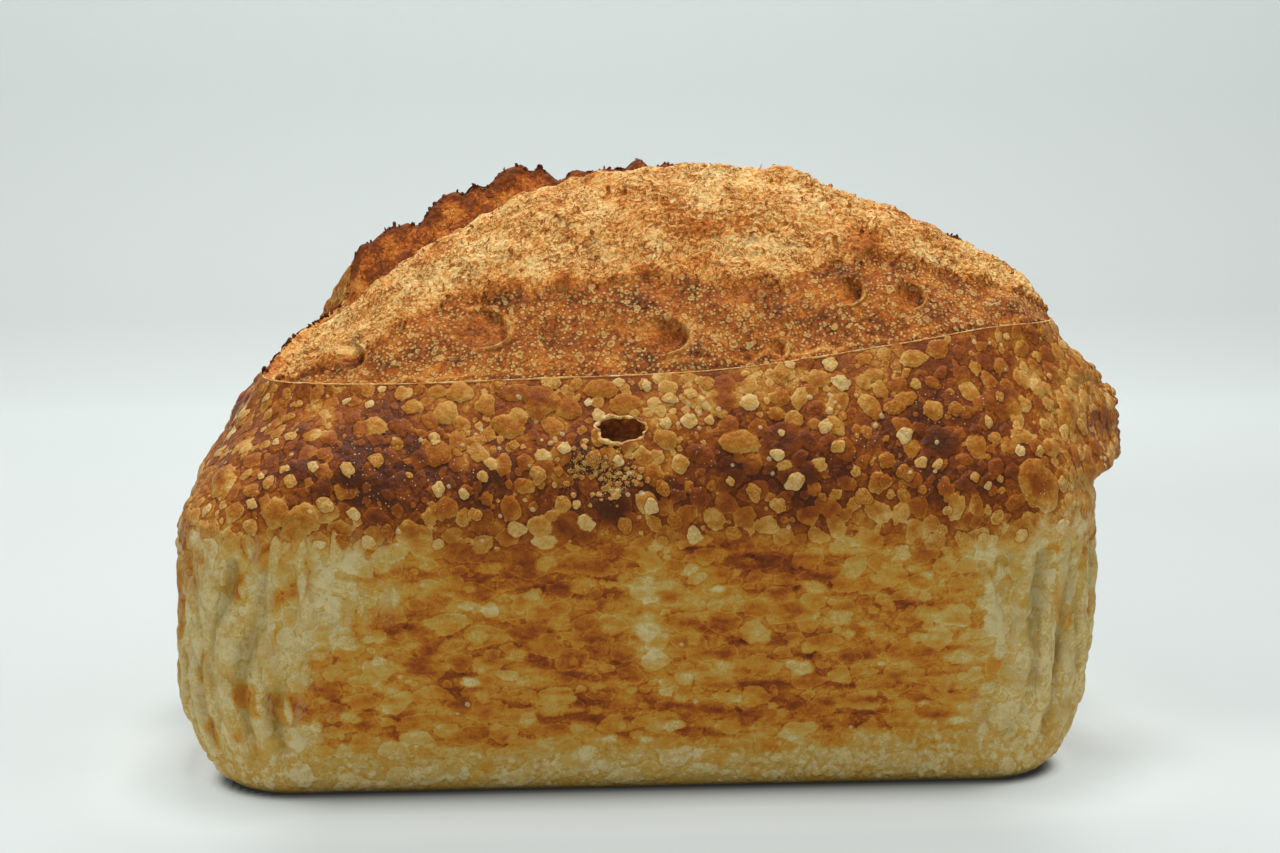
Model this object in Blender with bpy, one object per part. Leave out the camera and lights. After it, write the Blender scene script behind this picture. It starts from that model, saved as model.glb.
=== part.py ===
"""A sourdough loaf baked in a crimped tin: pale fluted walls, a blistered brown dome,
and a long split along the top with an ear of crust standing on its far side.

The loaf is one solid. Its skin is a stack of closed rings that runs from the foot up the
tin-baked wall, over the crust to the edge of the split, down inside the ear and over the
risen crumb to its ridge. +Z is up, X runs along the loaf and the side that shows the
split is at -Y. The origin is at the middle of the flat foot. All lengths are in metres.
"""

import math

import bpy
import numpy as np

# Driving dimensions of the tin-baked part
RIM_HALF_LENGTH = 0.1095
RIM_HALF_WIDTH = 0.0575
RIM_HEIGHT = 0.060
RIM_CORNER = 0.026
FOOT_HALF_LENGTH = 0.0995
FOOT_HALF_WIDTH = 0.0490
FOOT_CORNER = 0.017
FOOT_ROUND_HEIGHT = 0.027
WALL_BARREL = 0.0018
FLUTE_DEPTH = 0.0016
FLUTE_PITCH = 0.0092
FLUTE_REACH = 0.030

# The split along the top, seen from above: an oval a little off the loaf's middle
SPLIT_X = 0.0065
SPLIT_Y = -0.0055
SPLIT_HALF_LENGTH = 0.098
SPLIT_HALF_WIDTH = 0.0405
SPLIT_POWER = 2.3
NEAR_EDGE_LINE = (
    (-0.0915, 0.0945),
    (-0.057, 0.0961),
    (-0.022, 0.0979),
    (0.013, 0.0993),
    (0.037, 0.1017),
    (0.061, 0.1049),
    (0.087, 0.1078),
    (0.1045, 0.1075),
)
EAR_LINE = (
    (-0.0915, 0.0955),
    (-0.084, 0.1035),
    (-0.071, 0.1165),
    (-0.061, 0.1250),
    (-0.050, 0.1310),
    (-0.036, 0.1370),
    (-0.018, 0.1400),
    (0.000, 0.1430),
    (0.026, 0.1405),
    (0.056, 0.1325),
    (0.075, 0.1275),
    (0.090, 0.1235),
    (0.1045, 0.1080),
)
EAR_THICKNESS = 0.0034
EAR_REACH = 0.0075
EAR_TEETH = 0.0013
NEAR_LIP = 0.0010
NEAR_DROP = 0.0009

# The crumb that rose through the split
RIDGE_HEIGHT = 0.1452
RIDGE_X = 0.0135
RIDGE_FALL_LEFT = 5.0
RIDGE_FALL_RIGHT = 3.9
RIDGE_W = 0.20
SPINE_SHARE = 0.86
FLANK_POWER = 1.45
VALLEY_DEPTH = 0.0125
BAND_W = -0.62
BAND_STEP = 0.0014

# The torn lip of crust on the right-hand end
TEAR_OUT = 0.0128
TEAR_POWER = 1.4
TEAR_START_Y = -0.053
TEAR_EDGE_Y = -0.014
TEAR_BACK_Y = 0.024
TEAR_LIP = 0.0038
TEAR_LOW = 0.0640
TEAR_HIGH = 0.1040

# Blisters, bubble pits and the burst bubble on the front
BLISTER_COUNT = 420
BLISTER_RADII = (0.0022, 0.0046)
BLISTER_RISE = 0.26
PIT_PLACES = (
    (-0.069, 0.101),
    (-0.036, 0.108),
    (0.006, 0.107),
    (0.031, 0.104),
    (0.050, 0.1165),
    (0.065, 0.115),
)
PIT_RADIUS = 0.0042
PIT_DEPTH = 0.0022
HOLE_X, HOLE_Z = -0.0035, 0.0855
HOLE_HALF_WIDTH, HOLE_HALF_HEIGHT = 0.0058, 0.0030
HOLE_DEPTH = 0.0034

# Fineness of the skin before it is thinned
COLUMNS = 520
WALL_ROWS = 30
CRUST_ROWS = 62
EAR_ROWS = 9
CRUMB_ROWS = 34
KEPT_TRIANGLES = 10000
SEED = 7


def smooth(value, low, high):
    """0 below low, 1 above high, and a smooth S between them."""
    t = np.clip((value - low) / (high - low), 0.0, 1.0)
    return t * t * (3 - 2 * t)


def waves(points, length, seed, count=14):
    """A gentle random field, mostly between -1 and 1.

    It is the sum of plane waves of about one length, in random directions.
    """
    rng = np.random.default_rng(seed)
    ways = rng.normal(size=(count, 3))
    ways /= np.linalg.norm(ways, axis=1)[:, None]
    ways *= 2 * math.pi / length * rng.uniform(0.7, 1.3, (count, 1))
    starts = rng.uniform(0, 2 * math.pi, count)
    return np.sin(points @ ways.T + starts).sum(axis=-1) / math.sqrt(count)


def round_the_rim(count):
    """Points spaced evenly round the tin's rounded rectangle, from the middle of the right-hand end.

    Each has the share of the way to the corner's centre along X and Y, and its outward normal.
    """
    face = RIM_HALF_LENGTH - RIM_CORNER
    end = RIM_HALF_WIDTH - RIM_CORNER
    corner = RIM_CORNER * math.pi / 2
    lengths = (0, end, corner, 2 * face, corner, 2 * end, corner, 2 * face, corner, end)
    stops = np.cumsum(lengths)
    along = np.arange(count) / count * stops[-1]
    share_x = np.interp(along, stops, (1, 1, 1, -1, -1, -1, -1, 1, 1, 1))
    share_y = np.interp(along, stops, (0, 1, 1, 1, 1, -1, -1, -1, -1, 0))
    turn = np.interp(along, stops, np.radians((0, 0, 90, 90, 180, 180, 270, 270, 360, 360)))
    middles = stops[1:9:2] + corner / 2
    from_corner = np.min(np.abs(along[:, None] - middles), axis=1)
    return share_x, share_y, np.cos(turn), np.sin(turn), along, from_corner


class Rim:
    """The columns of the skin: where each stands round the rim."""

    share_x, share_y, normal_x, normal_y, along, from_corner = round_the_rim(COLUMNS)


def ring(half_length, half_width, corner, height):
    """A rounded rectangle at one height: the corner's centre plus its radius along the normal."""
    x = (half_length - corner) * Rim.share_x + corner * Rim.normal_x
    y = (half_width - corner) * Rim.share_y + corner * Rim.normal_y
    return np.stack([x, y, np.full_like(x, height)], axis=-1)


def flutes(height):
    """How far the tin's crimped corners press into the wall.

    A cosine round each corner, which fades out along the walls and towards the rim and the foot.
    """
    near = 1 - smooth(Rim.from_corner, 0.6 * FLUTE_REACH, FLUTE_REACH)
    tall = smooth(height, 0.004, 0.018) * (1 - smooth(height, RIM_HEIGHT - 0.004, RIM_HEIGHT))
    lean = 0.0035 * np.sin(height / 0.021 + Rim.along / 0.05)
    groove = 0.5 - 0.5 * np.cos(2 * math.pi * (Rim.from_corner + lean) / FLUTE_PITCH)
    return FLUTE_DEPTH * near * tall * groove


def wall_rings():
    """The tin-baked wall from the foot to the rim: straight at the top, rounded in towards the foot."""
    rings = []
    for t in np.linspace(0, 1, WALL_ROWS):
        height = RIM_HEIGHT * t**1.25
        end_in = (1 - min(height / FOOT_ROUND_HEIGHT, 1)) ** 2.2
        side_in = (1 - height / RIM_HEIGHT) ** 1.7
        barrel = WALL_BARREL * math.sin(math.pi * height / RIM_HEIGHT)
        made = ring(
            RIM_HALF_LENGTH + (FOOT_HALF_LENGTH - RIM_HALF_LENGTH) * end_in + barrel,
            RIM_HALF_WIDTH + (FOOT_HALF_WIDTH - RIM_HALF_WIDTH) * side_in,
            RIM_CORNER + (FOOT_CORNER - RIM_CORNER) * end_in,
            height,
        )
        dent = flutes(height) + 0.0009 * smooth(height, 0.002, 0.02) * waves(made, 0.045, SEED)
        made[:, 0] -= dent * Rim.normal_x
        made[:, 1] -= dent * Rim.normal_y
        rings.append(made)
    return np.array(rings)


def through(places, x):
    """A smooth curve through a few places: cubic pieces whose slopes follow the neighbouring places."""
    at, value = np.array(places).T
    slope = np.gradient(value, at)
    x = np.clip(x, at[0], at[-1])
    piece = np.clip(np.searchsorted(at, x) - 1, 0, len(at) - 2)
    width = at[piece + 1] - at[piece]
    t = (x - at[piece]) / width
    ends = (1 + 2 * t) * (1 - t) ** 2 * value[piece] + t**2 * (3 - 2 * t) * value[piece + 1]
    return ends + width * t * (1 - t) * ((1 - t) * slope[piece] - t * slope[piece + 1])


def near_edge_height(x):
    """Height of the split's near edge, which climbs to the right."""
    return through(NEAR_EDGE_LINE, x)


def ear_height(x):
    """Height of the split's far edge, the ear, which stands as high as the crumb along the middle."""
    return through(EAR_LINE, x)


def split_edge():
    """The edge of the split for each column, its far side's share, and the way in towards the crumb."""
    rim = ring(RIM_HALF_LENGTH, RIM_HALF_WIDTH, RIM_CORNER, RIM_HEIGHT)
    angle = np.arctan2(rim[:, 1] / RIM_HALF_WIDTH, rim[:, 0] / RIM_HALF_LENGTH)
    c, s = np.cos(angle), np.sin(angle)
    reach = (np.abs(c) ** SPLIT_POWER + np.abs(s) ** SPLIT_POWER) ** (-1 / SPLIT_POWER)
    x = SPLIT_X + SPLIT_HALF_LENGTH * c * reach
    y = SPLIT_Y + SPLIT_HALF_WIDTH * s * reach
    far = smooth(s * reach, -0.05, 0.45)
    z = near_edge_height(x) * (1 - far) + ear_height(x) * far
    inward = -np.stack([c / SPLIT_HALF_LENGTH, s / SPLIT_HALF_WIDTH], axis=-1)
    inward /= np.linalg.norm(inward, axis=1)[:, None]
    return np.stack([x, y, z], axis=-1), far, inward


def crumb_height(x, y):
    """Height of the risen crumb, and the place across it, from -1 at the near edge to 1 at the ear.

    Its near flank falls from the ridge to the split's near edge, its far flank to a valley inside the ear.
    """
    along = np.abs((x - SPLIT_X) / SPLIT_HALF_LENGTH) ** SPLIT_POWER
    across = np.clip(1 - along, 1e-4, 1) ** (1 / SPLIT_POWER)
    w = (y - SPLIT_Y) / (SPLIT_HALF_WIDTH * across)
    edge = near_edge_height(x) - NEAR_DROP
    fall = np.where(x < RIDGE_X, RIDGE_FALL_LEFT, RIDGE_FALL_RIGHT)
    ridge = RIDGE_HEIGHT - fall * (x - RIDGE_X) ** 2
    ridge = edge + (ridge - edge) * smooth(across, 0.02, 0.45)
    valley = edge + (ear_height(x) - VALLEY_DEPTH - edge) * smooth(across, 0.1, 0.8)
    near = 1 - np.abs((RIDGE_W - np.clip(w, -1.0, RIDGE_W)) / (1 + RIDGE_W)) ** FLANK_POWER
    beyond = np.clip((w - RIDGE_W) / (1 - RIDGE_W), 0, 1) ** 1.7
    height = edge + (ridge - edge) * near
    return height + (valley - ridge) * beyond, w


def curve(start, leave, arrive, end, rows):
    """Rings along a Bezier curve in each column, without its first point."""
    t = np.linspace(0, 1, rows + 1)[1:, None, None]
    return (1 - t) ** 3 * start + 3 * t * (1 - t) ** 2 * leave + 3 * t**2 * (1 - t) * arrive + t**3 * end


def ragged_edge(edge):
    """How far the ear's torn edge stands above or below its smooth line: small teeth on longer waves."""
    along = edge * [1, 0.3, 0]
    return EAR_TEETH * (0.8 * waves(along, 0.007, SEED + 8) + 0.8 * waves(along, 0.019, SEED + 9))


def crust_rings(rim, edge, far):
    """The blistered crust: it bulges over the tin's rim and curves in to the edge of the split."""
    outward = np.stack([Rim.normal_x, Rim.normal_y, np.zeros(COLUMNS)], axis=-1)
    up = np.array([0.0, 0.0, 1.0])
    at_end = (Rim.normal_x**2)[:, None]
    far = far[:, None] * (1 - at_end)
    leave = rim + outward * (0.0045 - 0.0040 * at_end) + up * (0.014 + 0.018 * far - 0.003 * at_end)
    arrive = edge + outward * (0.008 + 0.003 * far - 0.002 * at_end) - up * (0.010 + 0.010 * far)
    made = curve(rim, leave, arrive, edge, CRUST_ROWS)
    lumps = 0.0011 * waves(made, 0.038, SEED + 1) + 0.0005 * waves(made, 0.016, SEED + 2)
    rise = np.linspace(0, 1, CRUST_ROWS)[:, None]
    made = made + (lumps * np.sin(math.pi * np.clip(rise, 0, 0.9)))[..., None] * outward
    return made + (smooth(rise, 0.90, 1.0) * ragged_edge(edge) * far[:, 0])[..., None] * up


def add_tear(rings):
    """Pulls the crust of the right-hand end out into a ragged lip that ends in a sudden step."""
    x, y, z = rings[..., 0], rings[..., 1], rings[..., 2]
    tall = smooth(z, TEAR_LOW, TEAR_LOW + 0.008) * (1 - smooth(z, TEAR_HIGH - 0.014, TEAR_HIGH))
    ragged = 1 + 0.10 * np.sin(z / 0.0019) + 0.08 * np.sin(z / 0.0031 + 1.0)
    edge_y = TEAR_EDGE_Y + 0.0012 * np.sin(z / 0.0042)
    swell = np.clip((y - TEAR_START_Y) / (edge_y - TEAR_START_Y), 0, 1) ** TEAR_POWER
    swell *= 1 - smooth(y, edge_y, edge_y + TEAR_LIP)
    hollow = smooth(y, edge_y, edge_y + TEAR_LIP) * (1 - smooth(y, TEAR_EDGE_Y + 0.012, TEAR_BACK_Y))
    right = smooth(x, 0.070, 0.095)
    rings[..., 0] += right * tall * (TEAR_OUT * ragged * swell - 0.0026 * hollow)
    rings[..., 1] += right * tall * swell * 0.0030
    return rings


def ear_rings(edge, far, inward):
    """From the edge of the split over the lip's thickness and down its inner face to the crumb."""
    in_3d = np.concatenate([inward, np.zeros((COLUMNS, 1))], axis=1)
    far = far[:, None]
    thick = NEAR_LIP + (EAR_THICKNESS - NEAR_LIP) * far
    reach = 2.2 * NEAR_LIP + (EAR_REACH - 2.2 * NEAR_LIP) * far
    foot = edge + in_3d * reach
    foot[:, 2] = np.minimum(crumb_height(foot[:, 0], foot[:, 1])[0], edge[:, 2] - 0.6 * NEAR_DROP)
    drop = (edge[:, 2] - foot[:, 2])[:, None] * np.array([0, 0, 1.0])
    top = edge + in_3d * thick * 0.9
    return curve(edge, edge + in_3d * thick * 0.5 + drop * 0.02, top - drop * 0.35, foot, EAR_ROWS)


def crumb_rings(foot):
    """Rings that close in from the ear's foot and the near edge to the crumb's ridge line."""
    spine = split_edge()[0][:, :2]
    spine[:, 0] = SPLIT_X + (spine[:, 0] - SPLIT_X) * SPINE_SHARE
    spine[:, 1] = SPLIT_Y + RIDGE_W * SPLIT_HALF_WIDTH
    t = np.linspace(0, 1, CRUMB_ROWS + 1)[1:, None, None]
    plan = foot[None, :, :2] * (1 - t) + spine[None] * t
    height, w = crumb_height(plan[..., 0], plan[..., 1])
    blend = smooth(t[..., 0], 0, 0.12)
    height = foot[None, :, 2] * (1 - blend) + height * blend
    points = np.concatenate([plan, height[..., None]], axis=-1)
    band_top = BAND_W + 0.10 * waves(points * [1, 0, 0], 0.040, SEED + 3)
    step = smooth(w, band_top - 0.02, band_top + 0.05) * (1 - smooth(w, -0.3, 0.1))
    rough = 0.0006 * waves(points, 0.009, SEED + 4) + 0.0007 * waves(points, 0.022, SEED + 5)
    points[..., 2] += (BAND_STEP * step + rough) * blend
    return points


def outward_normals(rings):
    """Unit normals of a stack of rings, by the cross product of its two directions."""
    round_way = np.roll(rings, -1, axis=1) - np.roll(rings, 1, axis=1)
    up_way = np.gradient(rings, axis=0)
    normal = np.cross(round_way, up_way)
    return normal / np.maximum(np.linalg.norm(normal, axis=-1, keepdims=True), 1e-12)


def add_blisters(skin):
    """Raises low round blisters on the crust and flat, wide ones on the wall."""
    rng = np.random.default_rng(SEED + 6)
    normal = outward_normals(skin)
    rows, columns = skin.shape[:2]
    flat = skin.reshape(-1, 3)
    raised = np.zeros(len(flat))
    for _ in range(BLISTER_COUNT):
        row = int(rng.uniform(0.12, 0.985) * rows)
        centre = skin[row, rng.integers(columns)]
        low, high = BLISTER_RADII
        radius = low + (high - low) * rng.uniform() ** 1.8
        apart = flat - centre
        if centre[2] < RIM_HEIGHT:
            apart = apart * [0.75, 0.75, 1.35]
        share = np.clip(1 - (apart**2).sum(axis=1) / radius**2, 0, 1)
        rise = BLISTER_RISE * radius * (1.0 if centre[2] > RIM_HEIGHT else 0.55)
        raised = np.maximum(raised, rise * share**0.7)
    return skin + normal * raised.reshape(rows, columns)[..., None]


def dent_at(skin, x, z, half_width, half_height, depth):
    """Sinks an oval dent into the front of a stack of rings."""
    far = ((skin[..., 0] - x) / half_width) ** 2 + ((skin[..., 2] - z) / half_height) ** 2
    share = np.where(skin[..., 1] < 0, np.clip(1 - far, 0, 1), 0)
    return skin - outward_normals(skin) * (depth * np.sqrt(share))[..., None]


def loaf_skin():
    """All the rings of the loaf, from the foot to the crumb's ridge."""
    wall = wall_rings()
    edge, far, inward = split_edge()
    crust = add_tear(crust_rings(wall[-1], edge, far))
    edge = crust[-1]
    body = add_blisters(np.concatenate([wall, crust[:-1]]))
    body = dent_at(body, HOLE_X, HOLE_Z, HOLE_HALF_WIDTH, HOLE_HALF_HEIGHT, HOLE_DEPTH)
    ear = ear_rings(edge, far, inward)
    crumb = crumb_rings(ear[-1])
    for x, z in PIT_PLACES:
        crumb[:-1] = dent_at(crumb, x, z, PIT_RADIUS, PIT_RADIUS * 0.8, PIT_DEPTH)[:-1]
    body[0, :, 2] = 0.0
    return np.concatenate([body, crust[-1:], ear, crumb])


def ring_mesh(name, rings):
    """A closed mesh: quads between the rings and one flat face under the first.

    The last ring lies flat along the ridge, and its two sides share their points.
    """
    rows, columns = rings.shape[:2]
    index = np.arange(rows * columns).reshape(rows, columns)
    index[-1, columns // 2 + 1 :] = index[-1, columns // 2 - 1 : 0 : -1]
    after = np.roll(index, -1, axis=1)
    quads = np.stack([index[:-1], after[:-1], after[1:], index[1:]], axis=-1).reshape(-1, 4)
    faces = quads.tolist() + [index[0, ::-1].tolist()]
    points = rings.reshape(-1, 3)[: index.max() + 1]
    mesh = bpy.data.meshes.new(name)
    mesh.from_pydata(points.tolist(), [], faces)
    mesh.validate()
    return mesh


def crust_material():
    """Golden brown crust."""
    material = bpy.data.materials.new("crust")
    material.use_nodes = True
    shader = material.node_tree.nodes["Principled BSDF"]
    shader.inputs["Base Color"].default_value = (0.36, 0.17, 0.055, 1.0)
    shader.inputs["Roughness"].default_value = 0.6
    shader.inputs["Metallic"].default_value = 0.0
    return material


def make_loaf():
    """The loaf as one object, thinned to the triangles that its form needs."""
    loaf = bpy.data.objects.new("loaf", ring_mesh("loaf", loaf_skin()))
    bpy.context.scene.collection.objects.link(loaf)
    loaf.data.materials.append(crust_material())
    thin = loaf.modifiers.new("thin", "DECIMATE")
    thin.ratio = KEPT_TRIANGLES / (2 * len(loaf.data.polygons) + 2 * COLUMNS)
    return loaf


for leftover in list(bpy.data.objects):
    bpy.data.objects.remove(leftover)
make_loaf()
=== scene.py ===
import math

import bpy
import numpy as np
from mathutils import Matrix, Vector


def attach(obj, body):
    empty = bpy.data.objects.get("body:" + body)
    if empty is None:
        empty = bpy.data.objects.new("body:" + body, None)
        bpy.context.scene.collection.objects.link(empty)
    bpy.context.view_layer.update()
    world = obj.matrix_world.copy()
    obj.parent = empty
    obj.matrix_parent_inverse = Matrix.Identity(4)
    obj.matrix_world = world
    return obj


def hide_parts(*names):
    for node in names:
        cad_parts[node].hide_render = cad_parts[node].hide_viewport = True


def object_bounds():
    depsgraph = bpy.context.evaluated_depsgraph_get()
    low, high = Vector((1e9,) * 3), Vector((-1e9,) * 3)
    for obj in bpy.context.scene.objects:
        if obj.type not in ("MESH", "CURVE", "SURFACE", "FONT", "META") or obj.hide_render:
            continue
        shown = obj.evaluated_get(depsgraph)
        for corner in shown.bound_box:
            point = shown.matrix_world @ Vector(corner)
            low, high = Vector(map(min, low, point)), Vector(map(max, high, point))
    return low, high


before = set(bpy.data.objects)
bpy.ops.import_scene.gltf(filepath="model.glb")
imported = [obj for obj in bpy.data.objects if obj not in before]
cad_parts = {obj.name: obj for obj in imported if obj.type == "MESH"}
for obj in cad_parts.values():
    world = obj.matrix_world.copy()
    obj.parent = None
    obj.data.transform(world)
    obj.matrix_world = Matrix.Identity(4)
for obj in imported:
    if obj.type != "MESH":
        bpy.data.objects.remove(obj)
cad_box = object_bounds()

# The skin of the loaf
# One baked skin of dough covers the loaf from the foot to the edge of the split. The tin's wall kept it pale
# and pressed its blisters flat, and the tin's crimped corners left flutes. Above the rim it baked free, and
# dark.

RIM_HALF_LENGTH = 0.1095
RIM_HALF_WIDTH = 0.0575
RIM_HEIGHT = 0.060
RIM_CORNER = 0.026
FOOT_HALF_LENGTH = 0.0995
FOOT_HALF_WIDTH = 0.0490
FOOT_CORNER = 0.017
FOOT_ROUND_HEIGHT = 0.027
WALL_BARREL = 0.0018
FLUTE_DEPTH = 0.0027
FLUTE_PITCH = 0.0092
FLUTE_REACH = 0.030
EDGE_ROUND = 0.0042
EDGE_IN = 0.0026

SPLIT_X = 0.0065
SPLIT_Y = -0.0055
SPLIT_HALF_LENGTH = 0.098
SPLIT_HALF_WIDTH = 0.0405
SPLIT_POWER = 2.3
NEAR_EDGE_LINE = (
    (-0.0915, 0.0945),
    (-0.057, 0.0961),
    (-0.022, 0.0979),
    (0.013, 0.0993),
    (0.037, 0.1017),
    (0.061, 0.1049),
    (0.087, 0.1078),
    (0.1045, 0.1075),
)
EAR_LINE = (
    (-0.0915, 0.0955),
    (-0.084, 0.1022),
    (-0.0765, 0.1072),
    (-0.0718, 0.1118),
    (-0.0690, 0.1222),
    (-0.0650, 0.1252),
    (-0.060, 0.1276),
    (-0.050, 0.1332),
    (-0.036, 0.1395),
    (-0.018, 0.1425),
    (0.000, 0.1440),
    (0.026, 0.1405),
    (0.056, 0.1325),
    (0.075, 0.1275),
    (0.090, 0.1235),
    (0.1045, 0.1080),
)
EAR_TEETH = 0.0013

TEAR_OUT = 0.0128
TEAR_POWER = 1.4
TEAR_START_Y = -0.053
TEAR_EDGE_Y = -0.014
TEAR_BACK_Y = 0.024
TEAR_LIP = 0.0038
TEAR_LOW = 0.0712
TEAR_RISE = 0.0026
TEAR_HIGH = 0.1050
TEAR_FALL = 0.0190

HOLE_X, HOLE_Z = -0.0061, 0.0869
HOLE_HALF_WIDTH, HOLE_HALF_HEIGHT = 0.0056, 0.0028
HOLE_POWER = 2.6
HOLE_DEPTH = 0.0030
HOLE_CLEAR = 0.02
NO_BEAD = 0.001
FLOUR_X, FLOUR_Z = -0.0105, 0.0780
DARK_X, DARK_Z = -0.0590, 0.0780

KNEE = 0.0009
SKIN_COLUMNS = 1560
WALL_ROWS = 126
CRUST_ROWS = 176
MAP_LOW, MAP_HIGH = 0.004, 0.996
SEED = 7


def smooth(value, low, high):
    """0 below low, 1 above high, and a smooth S between them."""
    t = np.clip((value - low) / (high - low), 0.0, 1.0)
    return t * t * (3 - 2 * t)


def bell(off, across=0.0):
    """1 where both offsets are 0, falling off round it as a bell curve."""
    return np.exp(-(off**2) - across**2)


def unit(vectors):
    """Vectors of length 1: each is divided by its own length."""
    return vectors / np.linalg.norm(vectors, axis=-1, keepdims=True)


def waves(points, length, seed, count=14):
    """A gentle random field: the sum of plane waves of about one length, in random directions."""
    rng = np.random.default_rng(seed)
    ways = unit(rng.normal(size=(count, 3)))
    ways *= 2 * math.pi / length * rng.uniform(0.7, 1.3, (count, 1))
    starts = rng.uniform(0, 2 * math.pi, count)
    return np.sin(points @ ways.T + starts).sum(axis=-1) / math.sqrt(count)


def grain(points, size, seed):
    """Gradient noise, about -1 to 1: each corner of a cubic lattice tilts the value its own random way,
    and the eight tilts round a point are blended with a smooth fifth-power weight."""
    slopes = unit(np.random.default_rng(seed).normal(size=(4096, 3)))
    place = points / size
    cell = np.floor(place).astype(np.int64)
    inside = place - cell
    weight = inside**3 * (inside * (inside * 6 - 15) + 10)
    total = np.zeros(points.shape[:-1])
    for corner in np.ndindex(2, 2, 2):
        key = ((cell + corner) * (73856093, 19349663, 83492791)).sum(axis=-1)
        tilt = slopes[(key ^ (key >> 7)) & 4095]
        share = np.where(corner, weight, 1 - weight).prod(axis=-1)
        total += share * ((inside - corner) * tilt).sum(axis=-1)
    return total * 1.7


def round_the_rim(count):
    """Points spaced evenly round the tin's rounded rectangle, from the middle of the right-hand end:
    the share of the way to the corner's centre along X and Y, the outward normal, the way walked,
    the ways to the corners' middles, and the distance to the nearest of those."""
    face = RIM_HALF_LENGTH - RIM_CORNER
    end = RIM_HALF_WIDTH - RIM_CORNER
    corner = RIM_CORNER * math.pi / 2
    lengths = (0, end, corner, 2 * face, corner, 2 * end, corner, 2 * face, corner, end)
    stops = np.cumsum(lengths)
    along = np.arange(count) / count * stops[-1]
    share_x = np.interp(along, stops, (1, 1, 1, -1, -1, -1, -1, 1, 1, 1))
    share_y = np.interp(along, stops, (0, 1, 1, 1, 1, -1, -1, -1, -1, 0))
    turn = np.interp(along, stops, np.radians((0, 0, 90, 90, 180, 180, 270, 270, 360, 360)))
    middles = stops[1:9:2] + corner / 2
    from_corner = np.min(np.abs(along[:, None] - middles), axis=1)
    return share_x, share_y, np.cos(turn), np.sin(turn), along, middles, from_corner


class Rim:
    """The columns of the skin: where each stands round the rim."""

    share_x, share_y, normal_x, normal_y, along, middles, from_corner = round_the_rim(SKIN_COLUMNS)


def ring(half_length, half_width, corner, height):
    """A rounded rectangle at one height: the corner's centre plus its radius along the normal."""
    x = (half_length - corner) * Rim.share_x + corner * Rim.normal_x
    y = (half_width - corner) * Rim.share_y + corner * Rim.normal_y
    return np.stack([x, y, np.full_like(x, height)], axis=-1)


def flutes(height):
    """How far, from 0 to 1, the crimped corners press into the wall: a cosine round the corner, faded
    along and up."""
    near = 1 - smooth(Rim.from_corner, 0.6 * FLUTE_REACH, FLUTE_REACH)
    tall = smooth(height, 0.004, 0.018) * (1 - smooth(height, RIM_HEIGHT - 0.004, RIM_HEIGHT))
    lean = 0.0035 * np.sin(height / 0.021 + Rim.along / 0.05)
    lean = lean + 0.0012 * np.sin(height / 0.0065 + Rim.along / 0.007)
    groove = (0.5 - 0.5 * np.cos(2 * math.pi * (Rim.from_corner + lean) / FLUTE_PITCH)) ** 1.5
    strength = 0.72 + 0.28 * np.sin(Rim.along / 0.0043 + height / 0.016)
    return near * tall * groove * strength


def wall_rings():
    """The tin-baked wall from the foot to the rim: straight at the top, rounded in towards the foot."""
    rings = []
    for t in np.linspace(0, 1, WALL_ROWS):
        height = RIM_HEIGHT * t**1.12
        end_in = (1 - min(height / FOOT_ROUND_HEIGHT, 1)) ** 2.2
        side_in = (1 - height / RIM_HEIGHT) ** 1.7
        barrel = WALL_BARREL * math.sin(math.pi * height / RIM_HEIGHT)
        made = ring(
            RIM_HALF_LENGTH + (FOOT_HALF_LENGTH - RIM_HALF_LENGTH) * end_in + barrel,
            RIM_HALF_WIDTH + (FOOT_HALF_WIDTH - RIM_HALF_WIDTH) * side_in,
            RIM_CORNER + (FOOT_CORNER - RIM_CORNER) * end_in,
            height,
        )
        wavy = 0.0009 * smooth(height, 0.002, 0.02) * waves(made, 0.045, SEED)
        under = min(max(1 - height / EDGE_ROUND, 0), 0.98)
        dent = FLUTE_DEPTH * flutes(height) + wavy + EDGE_IN * (1 - math.sqrt(1 - under**2))
        made[:, 0] -= dent * Rim.normal_x
        made[:, 1] -= dent * Rim.normal_y
        rings.append(made)
    return np.array(rings)


def through(places, x):
    """A smooth curve through a few places: cubic pieces whose slopes follow the neighbouring places."""
    at, value = np.array(places).T
    slope = np.gradient(value, at)
    x = np.clip(x, at[0], at[-1])
    piece = np.clip(np.searchsorted(at, x) - 1, 0, len(at) - 2)
    width = at[piece + 1] - at[piece]
    t = (x - at[piece]) / width
    ends = (1 + 2 * t) * (1 - t) ** 2 * value[piece] + t**2 * (3 - 2 * t) * value[piece + 1]
    return ends + width * t * (1 - t) * ((1 - t) * slope[piece] - t * slope[piece + 1])


def split_edge():
    """The edge of the split for each column, its far side's share, and the way in towards the crumb.

    In plan the edge is an oval of power SPLIT_POWER. The near side follows one line of heights and the
    far side, the ear, another.
    """
    rim = ring(RIM_HALF_LENGTH, RIM_HALF_WIDTH, RIM_CORNER, RIM_HEIGHT)
    angle = np.arctan2(rim[:, 1] / RIM_HALF_WIDTH, rim[:, 0] / RIM_HALF_LENGTH)
    c, s = np.cos(angle), np.sin(angle)
    reach = (np.abs(c) ** SPLIT_POWER + np.abs(s) ** SPLIT_POWER) ** (-1 / SPLIT_POWER)
    x = SPLIT_X + SPLIT_HALF_LENGTH * c * reach
    y = SPLIT_Y + SPLIT_HALF_WIDTH * s * reach
    far = smooth(s * reach, -0.05, 0.45)
    z = through(NEAR_EDGE_LINE, x) * (1 - far) + through(EAR_LINE, x) * far
    inward = unit(-np.stack([c / SPLIT_HALF_LENGTH, s / SPLIT_HALF_WIDTH], axis=-1))
    return np.stack([x, y, z], axis=-1), far, inward


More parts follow.
